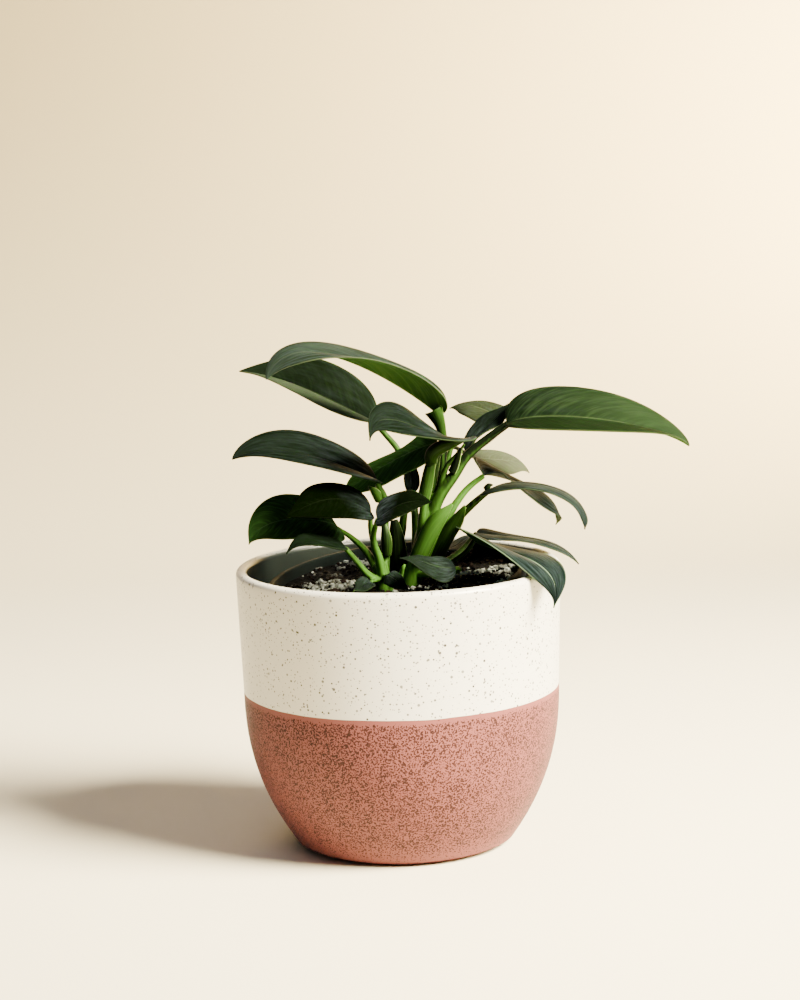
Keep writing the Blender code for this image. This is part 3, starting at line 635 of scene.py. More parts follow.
def midrib_point(points, share):
    """The cubic through four evenly spaced points."""
    knots = (0, 1 / 3, 2 / 3, 1)
    total = Vector((0, 0, 0))
    for i, point in enumerate(points):
        weight = 1.0
        for j in range(4):
            if j != i:
                weight *= (share - knots[j]) / (knots[i] - knots[j])
        total += Vector(point) * weight
    return total


def eased(values, share):
    """The parabola through a value at the base, in the middle and at the tip."""
    base, middle, tip = values
    return base * (1 - share) * (1 - 2 * share) + middle * 4 * share * (1 - share) + tip * share * (2 * share - 1)


def blade_half_width(leaf, share):
    """Round at the base, widest before the middle, drawn out to a point."""
    rise = BLADE_BASE_FULLNESS
    peak = rise / (rise + leaf.taper)
    outline = (share / peak) ** rise * ((1 - share) / (1 - peak)) ** leaf.taper
    return max(leaf.half_width * outline, BLADE_END_HALF_WIDTH)


def blade_point(leaf, share, across):
    """A place on the blade: share runs from stalk to tip, across from the front edge at -1 to the back edge at 1."""
    step = 0.01
    here = midrib_point(leaf.midrib, share)
    before = midrib_point(leaf.midrib, max(share - step, 0))
    after = midrib_point(leaf.midrib, min(share + step, 1))
    forward = (after - before).normalized()
    side = forward.cross(Vector((0, 0, 1))).normalized()
    upward = side.cross(forward)
    if leaf.midrib[-1][0] > leaf.midrib[0][0]:
        side = -side
    reach = abs(across)
    tilt = math.radians(eased(leaf.front if across < 0 else leaf.back, share))
    outward = math.copysign(math.cos(tilt), across) * side
    width = blade_half_width(leaf, share)
    lobe = BLADE_LOBE * width * reach**2 * (1 - share) ** 3
    ripple = BLADE_RIPPLE * reach**2 * math.sin(math.pi * share) * math.sin(BLADE_RIPPLE_TURNS * share + 2 * across)
    bow = BLADE_BOW * reach * (1 - reach) * width
    groove = MIDRIB_GROOVE * math.exp(-((across / MIDRIB_HALF_WIDTH) ** 2)) * math.sin(math.pi * share) ** 0.5
    rise = bow + ripple - groove
    return here + (outward + math.sin(tilt) * upward) * width * reach + upward * rise - forward * lobe


def blade(leaf, rows=BLADE_ROWS, columns=BLADE_COLUMNS):
    """The bent grid, with its rows closer together near both ends, and every face looking up."""
    made = bmesh.new()
    uv = made.loops.layers.uv.new("UVMap")
    bmesh.ops.create_grid(made, x_segments=rows, y_segments=columns, size=1)
    for vert in made.verts:
        vert.co.x = 0.5 - 0.5 * math.cos(math.pi * (vert.co.x + 1) / 2)
        vert.co.y = math.copysign(abs(vert.co.y) ** 1.3, vert.co.y)
    for face in made.faces:
        for loop in face.loops:
            loop[uv].uv = (loop.vert.co.x, (loop.vert.co.y + 1) / 2)
    for vert in made.verts:
        vert.co = blade_point(leaf, vert.co.x, vert.co.y) * MM
    made.normal_update()
    if leaf.midrib[-1][0] <= leaf.midrib[0][0]:
        bmesh.ops.reverse_faces(made, faces=made.faces)
    return made


# %% [markdown]
# ### Leaf skin
# The upper skin is waxy and dark green. Side veins leave the midrib at a slant and bend towards the tip, and
# between them the green is a little paler, which gives the fine streaks. The midrib is a pale line. The pale
# line along the margin is a painted highlight, where the thin edge catches the light. Teal-grey streaks of
# painted sheen lie on the green, and on some leaves the front half is painted paler or darker for the light
# that falls on it. The under skin is paler and duller. Light goes a little way into a leaf, so each skin has a
# little scattering under its surface.

# %% Leaf skins
VEIN_LEAN = 0.30
VEIN_BEND = 1.25
# The colour of the painted sheen on the leaves.
PAINTED_SHEEN_COLOUR = "#48565a"
FRONT_SHARE = 0.75


def leaf_skin(name, deep, fresh, rib, front=None, streaks=0.5, tip_light=0.0, sheen_ends=(0.3, 0.1), roughness=0.45,
              rib_strength=0.4, shine=0.03):
    """A skin whose veins follow the blade's own map."""
    made, tree, shader = new_material(name)
    map_place = add_node(tree, "ShaderNodeUVMap", uv_map="UVMap").outputs["UV"]
    split = add_node(tree, "ShaderNodeSeparateXYZ", {0: map_place})
    share = split.outputs["X"]
    side = add_node(tree, "ShaderNodeMath", {0: split.outputs["Y"], 1: 2.0, 2: -1.0}, operation="MULTIPLY_ADD").outputs[0]
    reach = add_node(tree, "ShaderNodeMath", {0: side}, operation="ABSOLUTE").outputs[0]
    bent = add_node(tree, "ShaderNodeMath", {0: reach, 1: VEIN_BEND}, operation="POWER").outputs[0]
    along = add_node(tree, "ShaderNodeMath", {0: bent, 1: -VEIN_LEAN, 2: share}, operation="MULTIPLY_ADD").outputs[0]
    half = add_node(tree, "ShaderNodeMath", {0: side}, operation="SIGN").outputs[0]
    vein_place = add_node(tree, "ShaderNodeCombineXYZ", {0: along, 1: reach, 2: half}).outputs[0]
    stretched = add_node(tree, "ShaderNodeVectorMath", {0: vein_place, 1: (34.0, 1.6, 3.0)}, operation="MULTIPLY")
    fibres = add_node(
        tree, "ShaderNodeTexNoise", {"Vector": stretched.outputs[0], "Scale": 1.0, "Detail": 3.0, "Roughness": 0.6}
    ).outputs["Fac"]
    streak = add_node(
        tree, "ShaderNodeMapRange", {"Value": fibres, "From Min": 0.42, "From Max": 0.68}, interpolation_type="SMOOTHSTEP"
    ).outputs["Result"]
    place = add_node(tree, "ShaderNodeTexCoord").outputs["Object"]
    cloud = add_node(tree, "ShaderNodeTexNoise", {"Vector": place, "Scale": 90.0, "Detail": 2.0}).outputs["Fac"]
    towards_tip = add_node(
        tree,
        "ShaderNodeMapRange",
        {"Value": share, "From Min": 0.1, "From Max": 0.75, "To Max": tip_light},
        interpolation_type="SMOOTHSTEP",
    ).outputs["Result"]
    fresher = add_node(tree, "ShaderNodeMath", {0: streak, 1: streaks, 2: towards_tip}, operation="MULTIPLY_ADD").outputs[0]
    fresher = add_node(
        tree, "ShaderNodeMath", {0: cloud, 1: 0.25, 2: fresher}, operation="MULTIPLY_ADD", use_clamp=True
    ).outputs[0]
    green = add_node(tree, "ShaderNodeMix", {0: fresher, 6: linear(deep), 7: linear(fresh)}, data_type="RGBA").outputs[2]
    # Painted sheen: teal-grey streaks are mixed into the green where a waxy leaf would shine. A pair of amounts sets
    # how much there is at the stalk and towards the middle.
    long_place = add_node(tree, "ShaderNodeVectorMath", {0: vein_place, 1: (5.0, 9.0, 7.0)}, operation="MULTIPLY")
    sheen_mask = add_node(
        tree, "ShaderNodeTexNoise", {"Vector": long_place.outputs[0], "Scale": 1.0, "Detail": 4.0, "Roughness": 0.65}
    ).outputs["Fac"]
    sheen_mask = add_node(
        tree, "ShaderNodeMapRange", {"Value": sheen_mask, "From Min": 0.3, "From Max": 0.82}, interpolation_type="SMOOTHSTEP"
    ).outputs["Result"]
    near_stalk = add_node(
        tree, "ShaderNodeMapRange", {"Value": share, "From Min": 0.0, "From Max": 0.6, "To Min": sheen_ends[0], "To Max": sheen_ends[1]}
    ).outputs["Result"]
    sheen_mask = add_node(tree, "ShaderNodeMath", {0: sheen_mask, 1: near_stalk}, operation="MULTIPLY").outputs[0]
    green = add_node(tree, "ShaderNodeMix", {0: sheen_mask, 6: green, 7: linear(PAINTED_SHEEN_COLOUR)}, data_type="RGBA").outputs[2]
    # Painted light and shade: the front half of the blade is mixed towards the colour front. It is paler where it
    # catches sheen and darker where it lies in shade.
    if front:
        on_front = add_node(
            tree, "ShaderNodeMapRange", {"Value": side, "From Min": 0.0, "From Max": -0.3, "To Max": FRONT_SHARE},
            interpolation_type="SMOOTHSTEP",
        ).outputs["Result"]
        green = add_node(tree, "ShaderNodeMix", {0: on_front, 6: green, 7: linear(front)}, data_type="RGBA").outputs[2]
    rib_width = add_node(
        tree, "ShaderNodeMapRange", {"Value": share, "From Min": 0.0, "From Max": 1.0, "To Min": 0.06, "To Max": 0.035}
    ).outputs["Result"]
    off_rib = add_node(tree, "ShaderNodeMath", {0: reach, 1: rib_width}, operation="DIVIDE").outputs[0]
    on_rib = add_node(
        tree,
        "ShaderNodeMapRange",
        {"Value": off_rib, "From Min": 0.3, "From Max": 1.0, "To Min": rib_strength, "To Max": 0.0},
        interpolation_type="SMOOTHSTEP",
    ).outputs["Result"]
    # Painted highlight: a pale line along the margin, where the thin edge catches the light.
    margin_highlight = add_node(
        tree, "ShaderNodeMapRange", {"Value": reach, "From Min": 0.965, "From Max": 0.995, "To Max": 0.7}
    ).outputs["Result"]
    lines = add_node(tree, "ShaderNodeMath", {0: on_rib, 1: margin_highlight}, operation="MAXIMUM").outputs[0]
    tone = add_node(tree, "ShaderNodeMix", {0: lines, 6: green, 7: linear(rib)}, data_type="RGBA").outputs[2]
    tree.links.new(tone, shader.inputs["Base Color"])
    wax = add_node(
        tree, "ShaderNodeMapRange", {"Value": fibres, "To Min": roughness - 0.06, "To Max": roughness + 0.06}
    ).outputs["Result"]
    tree.links.new(wax, shader.inputs["Roughness"])
    relief = add_node(tree, "ShaderNodeBump", {"Height": fibres, "Strength": 0.35, "Distance": 0.0004})
    tree.links.new(relief.outputs["Normal"], shader.inputs["Normal"])
    glint = add_node(
        tree, "ShaderNodeMapRange", {"Value": sheen_mask, "From Max": 0.4, "To Min": shine * 0.2, "To Max": shine}
    ).outputs["Result"]
    tree.links.new(glint, shader.inputs["Specular IOR Level"])
    shader.inputs["Specular Tint"].default_value = linear("#b4d6cc")
    shader.inputs["Subsurface Weight"].default_value = 0.12
    shader.inputs["Subsurface Radius"].default_value = (0.3, 1.0, 0.15)
    shader.inputs["Subsurface Scale"].default_value = 0.8 * MM
    return made


# The skins are lit and shaded copies of one leaf finish: each leaf's greens are set lighter or darker for the light it
# stands in, so they hold painted light and shade. The pale leaf is painted light on a leaf lit from behind. Teal-grey
# painted sheen lies near the stalk or towards the tip, by the pair of amounts given.
SKINS = {
    "deep": leaf_skin("deepest green leaf", "#020601", "#050b03", "#121b0e", sheen_ends=(0.05, 0.03), rib_strength=0.25, shine=0),
    "shaded": leaf_skin("green leaf in shade", "#193010", "#325428", "#425c38", sheen_ends=(0.05, 0), shine=0),
    "glazed": leaf_skin("deep green leaf with grey streaks", "#020501", "#060c05", "#0c130a", sheen_ends=(0.3, 0.07), shine=0.015),
    "low": leaf_skin("dark green leaf in shade", "#0c1a08", "#1e3716", "#30442a", sheen_ends=(0.06, 0), shine=0),
    "olive": leaf_skin("olive leaf", "#191f10", "#292f1c", "#434b34", sheen_ends=(0.12, 0.12), shine=0),
    "rounded": leaf_skin("deep green leaf, pale near its stalk", "#010300", "#040803", "#0a1008", sheen_ends=(0.2, -0.12), shine=0),
    "glinting": leaf_skin("dark leaf, pale near its stalk", "#030702", "#080f06", "#1c2617", sheen_ends=(0.9, -0.4), shine=0.01),
    "arched": leaf_skin("dusky leaf, dark at its stalk", "#030703", "#0c150c", "#2c3728", sheen_ends=(0.0, 0.28), shine=0.01),
    "dark": leaf_skin("dark waxy leaf", "#030702", "#080f06", "#273320", sheen_ends=(0.25, 0.08), shine=0.015),
    "dusky": leaf_skin("dusky leaf", "#060c07", "#111b11", "#374333", sheen_ends=(0.5, 0.35), shine=0.01),
    "bright": leaf_skin("bright waxy leaf", "#010601", "#182413", "#334028", "#070f04", 0.65, 0.6, (0.03, 0.03)),
    "sheen_on_front_half": leaf_skin("leaf with a pale half", "#060c04", "#0f190a", "#333e2b", "#2b3426", 0.5, 0.0, (0.08, 0.05)),
    "sheened": leaf_skin("bloomed green leaf", "#0b120a", "#1b2418", "#434c3a", streaks=0.7, sheen_ends=(0.12, 0.24)),
    "grey": leaf_skin("grey-bloomed leaf", "#0d140e", "#1d251d", "#454d41", streaks=0.6, sheen_ends=(0.4, 0.4), shine=0.01),
    "pale": leaf_skin("pale leaf", "#33382b", "#464b39", "#585e49", sheen_ends=(0, 0), shine=0),
    "teal": leaf_skin("teal-bloomed leaf", "#020705", "#0a1410", "#667a62", sheen_ends=(0.04, 0.22), rib_strength=0.7),
}
UNDERSIDE = leaf_skin("leaf underside", "#24401a", "#3d5c2c", "#54703f", streaks=0.4, sheen_ends=(0, 0), roughness=0.6, shine=0.02)
PALE_UNDERSIDE = leaf_skin("pale leaf underside", "#3c4631", "#66705a", "#7a836a", sheen_ends=(0, 0), roughness=0.6, shine=0.02)
Look = namedtuple("Look", "upper under")
LOOKS = {
    "leaf_top_back": Look("sheen_on_front_half", PALE_UNDERSIDE),
    "leaf_top_arching": Look("sheened", UNDERSIDE),
    "leaf_top_right": Look("bright", UNDERSIDE),
    "leaf_top_right_young": Look("dark", UNDERSIDE),
    "leaf_centre_front": Look("dark", PALE_UNDERSIDE),
    "leaf_left_long": Look("glazed", UNDERSIDE),
    "leaf_middle_back": Look("shaded", UNDERSIDE),
    "leaf_left_round": Look("rounded", UNDERSIDE),
    "leaf_left_low": Look("low", UNDERSIDE),
    "leaf_left_rim": Look("deep", UNDERSIDE),
    "leaf_centre_small": Look("glinting", UNDERSIDE),
    "leaf_right_far": Look("pale", PALE_UNDERSIDE),
    "leaf_right_arched": Look("arched", PALE_UNDERSIDE),
    "leaf_right_behind": Look("dusky", PALE_UNDERSIDE),
    "leaf_right_low": Look("dusky", PALE_UNDERSIDE),
    "leaf_right_hanging": Look("teal", UNDERSIDE),
    "leaf_back_low": Look("grey", UNDERSIDE),
    "leaf_top_far": Look("olive", UNDERSIDE),
    "leaf_foot_front": Look("dark", UNDERSIDE),
    "leaf_foot_left": Look("dark", UNDERSIDE),
    "leaf_foot_middle": Look("dark", UNDERSIDE),
    "leaf_centre_young": Look("dark", UNDERSIDE),
}
SLOTS = {entry["node"]: entry["material_slot"] for entry in frame["record"]["subparts"]}

# %% Leaves
for name, leaf in LEAVES.items():
    skins = [SKINS[LOOKS[name].upper], LOOKS[name].under]
    piece = add_piece(name + "_blade", blade(leaf), skins, SLOTS[name], name)
    wall = piece.modifiers.new("thickness", "SOLIDIFY")
    wall.thickness = BLADE_THICKNESS * MM
    wall.offset = 0
    wall.material_offset = 1
    wall.material_offset_rim = 0
    piece.data.shade_smooth()
print("leaves:", len(LEAVES))

# %% [markdown]
# ## Stems
# Each stem is a bundle of leaf stalks that part from one foot. A stalk is a tapering round tube along a smooth
# curve. Tubes that only cross look like pipes, so the bundle is turned to small even cells and smoothed, and
# the stalks flow into each other as they do when they grow. Each stalk keeps a tone in a colour attribute on
# the mesh: partly its own shade of green, and partly painted light and shade, darker where it stands in
# shadow and paler where it is lit.

# %% Stem tubes
# A limb's tones, from its foot to its end, are painted light and shade as well as its own green: lower is darker.
Limb = namedtuple("Limb", "points start_radius end_radius tones")
STEMS = {
    "stem_main": (
        Limb(((6, -2, 101), (6, -2, 113), (10, -1, 127), (14, 0, 142), (17, 1, 151)), 4.4, 3.4, (0.9, 0.9)),
        Limb(((14, 1, 142), (18, 3, 152), (20, 4, 163), (21, 5, 174), (20, 6, 184)), 2.6, 1.6, (0.15, -0.15)),
        Limb(((14, -1, 140), (19, -2, 151), (25, -1, 159), (31, 1, 167), (40, 3, 174), (49, 4, 180)), 3.0, 1.6, (0.5, -0.3)),
        Limb(((25, -1, 160), (29, 3, 164), (32, 7, 168)), 1.6, 1.1, (0.5, 0.4)),
        Limb(((19, -1, 155), (22, -2, 163), (27, -3, 169), (30, -4, 173)), 1.5, 0.6, (0.3, 0.1)),
        Limb(((10, -3, 132), (12, -5, 147), (14, -5, 158), (17, -3, 166), (18, 2, 170), (17, 6, 171)), 2.2, 0.8, (0.6, 0.5)),
        Limb(((12, 4, 135), (18, 9, 149), (22, 13, 161), (25, 16, 170)), 1.8, 1.1, (0.4, 0.4)),
        Limb(((35, 2, 170), (41, 8, 173), (46, 14, 176), (49, 20, 179)), 1.5, 0.8, (0.5, 0.5)),
        Limb(((11, -5, 123), (16, -6, 133), (22, -5, 142), (27, -2, 149), (32, 1, 154), (38, 3, 158)), 2.2, 1.2, (0.9, 0.8)),
        Limb(((10, 0, 118), (15, -2, 126), (21, -5, 134), (27, -7, 142), (33, -9, 148), (39, -10, 153)), 2.7, 1.3, (0.4, 0.05)),
        Limb(((8, 2, 118), (8, 10, 128), (8, 17, 140), (6, 23, 153), (2, 28, 166), (-4, 29, 174), (-9, 28, 180)),
             2.0, 1.2, (0.5, 0.6)),
        Limb(((9, 1, 118), (20, 8, 120), (27, 15, 123), (32, 20, 127), (35, 22, 130)), 1.5, 1.1, (0.4, 0.4)),
        Limb(((8, -2, 118), (18, -3, 120), (25, -4, 123), (30, -4, 127), (33, -2, 131)), 1.5, 1.1, (0.4, 0.4)),
        Limb(((7, 1, 118), (15, 12, 120), (19, 22, 121), (21, 28, 122)), 1.3, 1.0, (0.4, 0.4)),
        Limb(((8, -4, 117), (17, -12, 118), (23, -18, 120), (26, -22, 122), (24, -24, 123)), 1.4, 1.0, (0.6, 0.6)),
    ),
    "stem_left": (
        Limb(((-6, -9, 100), (-6, -9, 112), (-7, -9, 118), (-8, -10, 123)), 4.0, 3.2, (0.7, 0.7)),
        Limb(((-6, -10, 114), (-8, -14, 126), (-10, -18, 135), (-8, -23, 145)), 2.4, 1.0, (0.7, 0.9)),
        Limb(((-7, -10, 118), (-9, -12, 129), (-11, -12, 138), (-11, -12, 146)), 1.9, 1.0, (0.5, 0.5)),
        Limb(((-7, -8, 116), (-10, -5, 122), (-14, -2, 128), (-20, 3, 133), (-26, 5, 137)), 2.2, 0.9, (0.6, 0.6)),
        Limb(((-7, -10, 115), (-13, -16, 120), (-17, -21, 126), (-22, -24, 133)), 1.8, 1.1, (0.7, 0.7)),
        Limb(((-6, -8, 116), (-5, -6, 129), (-5, -4, 141), (-5, -4, 151), (-8, -3, 157)), 2.1, 1.3, (0.2, 0.7)),
        Limb(((-6, -10, 116), (-9, -14, 117), (-12, -18, 117)), 1.2, 0.7, (0.5, 0.5)),
        Limb(((-5, -10, 116), (-5, -16, 119), (-5, -21, 120)), 1.2, 0.7, (0.6, 0.6)),
    ),
    "stem_middle": (
        Limb(((1, 8, 102), (1, 8, 114), (0, 7, 124), (2, 7, 136)), 3.1, 2.2, (0.1, 0.1)),
        Limb(((2, 7, 134), (4, 7, 144), (7, 8, 151)), 2.0, 1.0, (0.2, 0.2)),
    ),
}
STEM_CELL = 0.38
STEM_SMOOTHING = 6


def limb_tube(limb):
    """A tapering round tube through the limb's points, as a mesh."""
    curve = bpy.data.curves.new("limb", "CURVE")
    curve.dimensions = "3D"
    curve.bevel_depth = MM
    curve.bevel_resolution = 6
    curve.use_fill_caps = True
    curve.resolution_u = 10
    spline = curve.splines.new("BEZIER")
    last = len(limb.points) - 1
    spline.bezier_points.add(last)
    for index, (knot, point) in enumerate(zip(spline.bezier_points, limb.points)):
        knot.co = Vector(point) * MM
        knot.handle_left_type = "AUTO"
        knot.handle_right_type = "AUTO"
        knot.radius = limb.start_radius + (limb.end_radius - limb.start_radius) * index / last
    guide = bpy.data.objects.new("limb", curve)
    bpy.context.scene.collection.objects.link(guide)
    bpy.context.view_layer.update()
    mesh = bpy.data.meshes.new_from_object(guide.evaluated_get(bpy.context.evaluated_depsgraph_get()))
    bpy.data.objects.remove(guide, do_unlink=True)
    return mesh


def fused_stem(name):
    """All the limbs of one stem, turned to even cells and smoothed into one skin."""
    bundle = bmesh.new()
    for limb in STEMS[name]:
        mesh = limb_tube(limb)
        bundle.from_mesh(mesh)
        bpy.data.meshes.remove(mesh)
    bmesh.ops.remove_doubles(bundle, verts=bundle.verts, dist=0.01 * MM)
    mesh = bpy.data.meshes.new(name)
    bundle.to_mesh(mesh)
    bundle.free()
    guide = bpy.data.objects.new(name + "_guide", mesh)
    bpy.context.scene.collection.objects.link(guide)
    cells = guide.modifiers.new("cells", "REMESH")
    cells.mode = "VOXEL"
    cells.voxel_size = STEM_CELL * MM
    soften = guide.modifiers.new("soften", "SMOOTH")
    soften.factor = 0.5
    soften.iterations = STEM_SMOOTHING
    bpy.context.view_layer.update()
    fused = bpy.data.meshes.new_from_object(guide.evaluated_get(bpy.context.evaluated_depsgraph_get()))
    bpy.data.objects.remove(guide, do_unlink=True)
    made = bmesh.new()
    made.from_mesh(fused)
    return made


RIDGE_PLACE = 0.25
RIDGE_WIDTH = 0.28
RIDGE_AND_HIGHLIGHT_TONE = 0.45


def paint_tones(piece, limbs):
    """Gives each vertex the tone of the limbs nearest to it, and a pale stripe along each limb's front, a little to the
    right: partly a ridge, partly painted highlight where the light falls.
    """
    verts = np.empty(len(piece.data.vertices) * 3)
    piece.data.vertices.foreach_get("co", verts)
    verts = verts.reshape(-1, 3) / MM
    total = np.zeros(len(verts))
    weight = np.zeros(len(verts))
    ridge_and_highlight = np.zeros(len(verts))
    for limb in limbs:
        points = np.array(limb.points, float)
        tones = np.linspace(*limb.tones, len(points))
        radii = np.linspace(limb.start_radius, limb.end_radius, len(points))
        for start, end, first, second, radius in zip(points[:-1], points[1:], tones[:-1], tones[1:], radii):
            run = end - start
            share = np.clip(((verts - start) @ run) / (run @ run), 0, 1)
            out = verts - (start + share[:, None] * run)
            away = np.linalg.norm(out, axis=1)
            to_right = np.cross(run, (0, -1, 0))
            aside = out @ (to_right / np.linalg.norm(to_right)) / radius
            # Painted highlight with the ridge: the stripe lies on each limb's front, a little to the right, where the
            # light falls.
            on_ridge_and_highlight = np.exp(-(((aside - RIDGE_PLACE) / RIDGE_WIDTH) ** 2)) * (out[:, 1] < 0)
            pull = np.exp(-4 * np.clip(away - radius, -0.5, None))
            total += pull * (first + (second - first) * share)
            ridge_and_highlight += pull * on_ridge_and_highlight
            weight += pull
    weight = np.maximum(weight, 1e-9)
    tone = total / weight + RIDGE_AND_HIGHLIGHT_TONE * ridge_and_highlight / weight
    layer = piece.data.attributes.new("tone", "FLOAT", "POINT")
    layer.data.foreach_set("value", tone.astype(np.float32))


# %% [markdown]
# The skin of a stalk is smooth, bright green and faintly ribbed along its length. The ribs are fine noise
# stretched up and down, which is close enough to each stalk's own direction because they all climb.

# %% Stem skin and stems
stalk, tree, shader = new_material("green stalk skin")
tone = add_node(tree, "ShaderNodeAttribute", attribute_name="tone").outputs["Fac"]
place = add_node(tree, "ShaderNodeTexCoord").outputs["Object"]
drawn_out = add_node(tree, "ShaderNodeVectorMath", {0: place, 1: (900.0, 900.0, 60.0)}, operation="MULTIPLY").outputs[0]
ribs = add_node(tree, "ShaderNodeTexNoise", {"Vector": drawn_out, "Scale": 1.0, "Detail": 3.0}).outputs["Fac"]
lower = add_node(tree, "ShaderNodeMath", {0: tone, 1: 0.47}, operation="SUBTRACT").outputs[0]
light = add_node(tree, "ShaderNodeMath", {0: ribs, 1: 0.8, 2: lower}, operation="MULTIPLY_ADD", use_clamp=True)
lit = add_node(
    tree, "ShaderNodeMix", {0: light.outputs[0], 6: linear("#050b03"), 7: linear("#32541c")}, data_type="RGBA"
)
tree.links.new(lit.outputs[2], shader.inputs["Base Color"])
shader.inputs["Roughness"].default_value = 0.42
shader.inputs["Specular IOR Level"].default_value = 0.04
shader.inputs["Subsurface Weight"].default_value = 0.15
shader.inputs["Subsurface Radius"].default_value = (0.5, 1.0, 0.2)
shader.inputs["Subsurface Scale"].default_value = 1.5 * MM
ribbed = add_node(tree, "ShaderNodeBump", {"Height": ribs, "Strength": 0.25, "Distance": 0.0002}).outputs["Normal"]
tree.links.new(ribbed, shader.inputs["Normal"])
for name, limbs in STEMS.items():
    piece = add_piece(name + "_skin", fused_stem(name), [stalk], "green_stem", name)
    piece.data.shade_smooth()
    paint_tones(piece, limbs)
    print(name, "faces:", len(piece.data.polygons))

# %% [markdown]
# ### Sheaths and bracts
# Each stalk widens at its foot into a sheath that wraps the younger stalks, and small bracts shield the buds.
# Both are part of a tube: a grid bent round the stalk's own line, open at the back, that narrows to a tongue.
# Their thin edges let light through, and that light is painted in as a pale line along the right edge. The
# tones of the sheaths are painted light and shade too: each is paler on its lit right side.

# %% Sheaths and bracts
Sheath = namedtuple("Sheath", "line radii spread turn tones")
SHEATHS = (
    Sheath(((8.5, -6, 124), (13.7, -7, 135), (17.9, -7.4, 142.4), (22, -6.4, 148.6)), (3.5, 3.7, 2.6), (85, 85, 20),
           (0, 0, 50), (0.55, 0.85)),
    Sheath(((16.4, -3.5, 124), (21.6, -6, 134.6), (26.6, -8, 141.4), (30.7, -9.6, 146.4)), (3.4, 3.1, 1.9),
           (80, 80, 30), (0, 0, -60), (0.35, 0.45)),
    Sheath(((0.3, 5, 113), (0.3, 4.5, 122), (-0.3, 4.5, 131.8), (-1.4, 5, 139.6)), (3.9, 3.7, 2.2), (80, 80, 40),
           (0, 0, 10), (0.1, 0.12)),
    Sheath(((24.5, -2, 160.6), (26, -2.5, 164), (27.2, -3, 167.5), (28.6, -3.5, 171)), (1.9, 1.5, 0.7), (70, 80, 60),
           (-30, -30, -30), (-0.3, -0.3)),
    Sheath(((-7, -3.4, 149.9), (-8, -4, 152.2), (-9.4, -4.4, 154.9), (-10.6, -5, 157)), (1.9, 1.9, 1.2), (90, 80, 30),
           (-20, -20, -60), (0.6, 0.8)),
    Sheath(((38.4, -9.5, 154.2), (39.2, -10, 155.2), (40, -10, 155.8), (41.4, -10, 155.8)), (1.1, 1.0, 0.4), (90, 80, 30),
           (0, 0, 0), (0, 0.1)),
    Sheath(((11.7, -6, 150.2), (13.4, -6, 157.1), (14.9, -5.4, 163.8), (16.9, -2.6, 171)), (2.5, 2.4, 1.6), (80, 80, 50),
           (0, 0, 0), (0.3, 0.35)),
    Sheath(((0.8, -14, 117.4), (1.5, -15, 120.2), (2.1, -16, 122.2), (2.9, -16, 123.6)), (0.8, 0.7, 0.3), (150, 120, 60),
           (0, 0, 0), (0.8, 1)),
    Sheath(((15.6, -6, 165.5), (17.3, -8, 171), (23.5, -8.3, 173.8), (31, -5.5, 175.4)), (2.3, 2.7, 0.4), (80, 80, 40),
           (0, 0, 0), (0.3, 0.2)),
    Sheath(((13.6, 1, 146), (15, 0.5, 154), (16.3, 0, 162), (17.2, -1, 171)), (2.0, 2.3, 2.6), (80, 80, 80),
           (0, 0, 0), (0.1, 0.1)),
    Sheath(((20.5, 5, 173.5), (20.4, 4.8, 178), (19.2, 4.6, 182.5), (17, 4.2, 187.5)), (1.7, 2.2, 4.2), (85, 80, 70),
           (0, 0, 0), (0.2, 0.25)),
    Sheath(((-4.9, -8, 126.6), (-4.6, -8.6, 131.7), (-4.9, -8.6, 136), (-5.4, -8, 140.6)), (1.9, 2.1, 0.8), (90, 90, 40),
           (0, 0, 0), (0.05, 0.15)),
)

# Painted light: each sheath is painted paler towards its right side, where the light falls, and darker on its left.
PAINTED_LIGHT_ACROSS = 0.25


def sheath_point(sheath, share, across):
    """A place on the sheath: across runs from its left edge at -1 to its right edge at 1."""
    step = 0.01
    here = midrib_point(sheath.line, share)
    ahead = midrib_point(sheath.line, share + step)
    forward = (ahead - here).normalized()
    right = forward.cross(Vector((0, -1, 0))).normalized()
    front = right.cross(forward)
    angle = math.radians(eased(sheath.turn, share) + across * eased(sheath.spread, share))
    return here + eased(sheath.radii, share) * (math.cos(angle) * front + math.sin(angle) * right)


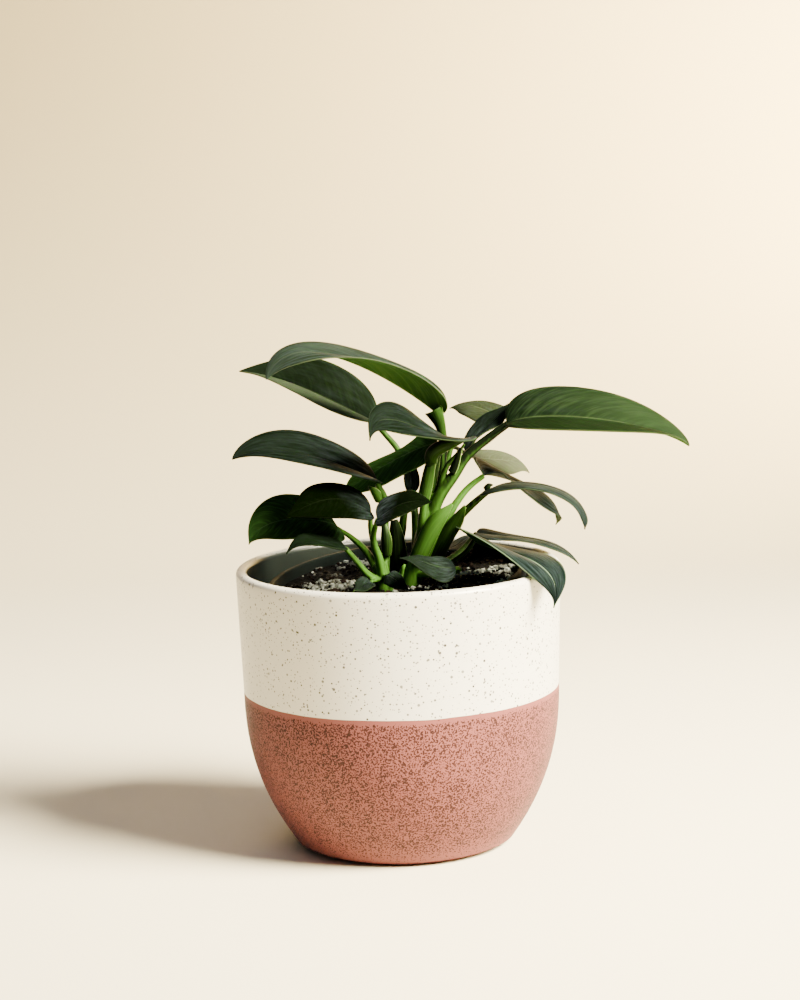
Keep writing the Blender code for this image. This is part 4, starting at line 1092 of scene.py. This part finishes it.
def sheath_pieces():
    """Every sheath in one mesh, with its tone and its own map."""
    made = bmesh.new()
    uv = made.loops.layers.uv.new("UVMap")
    tone = made.verts.layers.float.new("tone")
    for sheath in SHEATHS:
        grid = bmesh.ops.create_grid(made, x_segments=28, y_segments=14, size=1)["verts"]
        for face in {face for vert in grid for face in vert.link_faces}:
            for loop in face.loops:
                loop[uv].uv = ((loop.vert.co.x + 1) / 2, (loop.vert.co.y + 1) / 2)
        for vert in grid:
            share = (vert.co.x + 1) / 2
            vert[tone] = sheath.tones[0] + (sheath.tones[1] - sheath.tones[0]) * share + PAINTED_LIGHT_ACROSS * vert.co.y
            vert.co = sheath_point(sheath, share, vert.co.y) * MM
    bmesh.ops.reverse_faces(made, faces=made.faces)
    return made


sheath_skin, tree, shader = new_material("thin sheath skin")
tone = add_node(tree, "ShaderNodeAttribute", attribute_name="tone").outputs["Fac"]
map_place = add_node(tree, "ShaderNodeUVMap", uv_map="UVMap").outputs["UV"]
split = add_node(tree, "ShaderNodeSeparateXYZ", {0: map_place})
drawn_out = add_node(tree, "ShaderNodeVectorMath", {0: map_place, 1: (1.2, 14.0, 1.0)}, operation="MULTIPLY").outputs[0]
ribs = add_node(tree, "ShaderNodeTexNoise", {"Vector": drawn_out, "Scale": 1.0, "Detail": 3.0}).outputs["Fac"]
lower = add_node(tree, "ShaderNodeMath", {0: tone, 1: 0.47}, operation="SUBTRACT").outputs[0]
light = add_node(tree, "ShaderNodeMath", {0: ribs, 1: 0.8, 2: lower}, operation="MULTIPLY_ADD", use_clamp=True)
lit = add_node(
    tree, "ShaderNodeMix", {0: light.outputs[0], 6: linear("#050b03"), 7: linear("#32541c")}, data_type="RGBA"
).outputs[2]
# Painted light: a pale line along each sheath's right edge, for light coming through it.
at_edge = add_node(
    tree, "ShaderNodeMapRange", {"Value": split.outputs["Y"], "From Min": 0.90, "From Max": 0.97, "To Max": 0.8}
).outputs["Result"]
edged = add_node(tree, "ShaderNodeMix", {0: at_edge, 6: lit, 7: linear("#6a8746")}, data_type="RGBA").outputs[2]
tree.links.new(edged, shader.inputs["Base Color"])
shader.inputs["Roughness"].default_value = 0.42
shader.inputs["Specular IOR Level"].default_value = 0.04
shader.inputs["Subsurface Weight"].default_value = 0.15
shader.inputs["Subsurface Radius"].default_value = (0.5, 1.0, 0.2)
shader.inputs["Subsurface Scale"].default_value = 0.8 * MM
sheaths = add_piece("sheaths_and_bracts", sheath_pieces(), [sheath_skin], "green_stem")
wall = sheaths.modifiers.new("thickness", "SOLIDIFY")
wall.thickness = 0.45 * MM
wall.offset = 0
sheaths.data.shade_smooth()
print("sheaths and bracts:", len(SHEATHS))
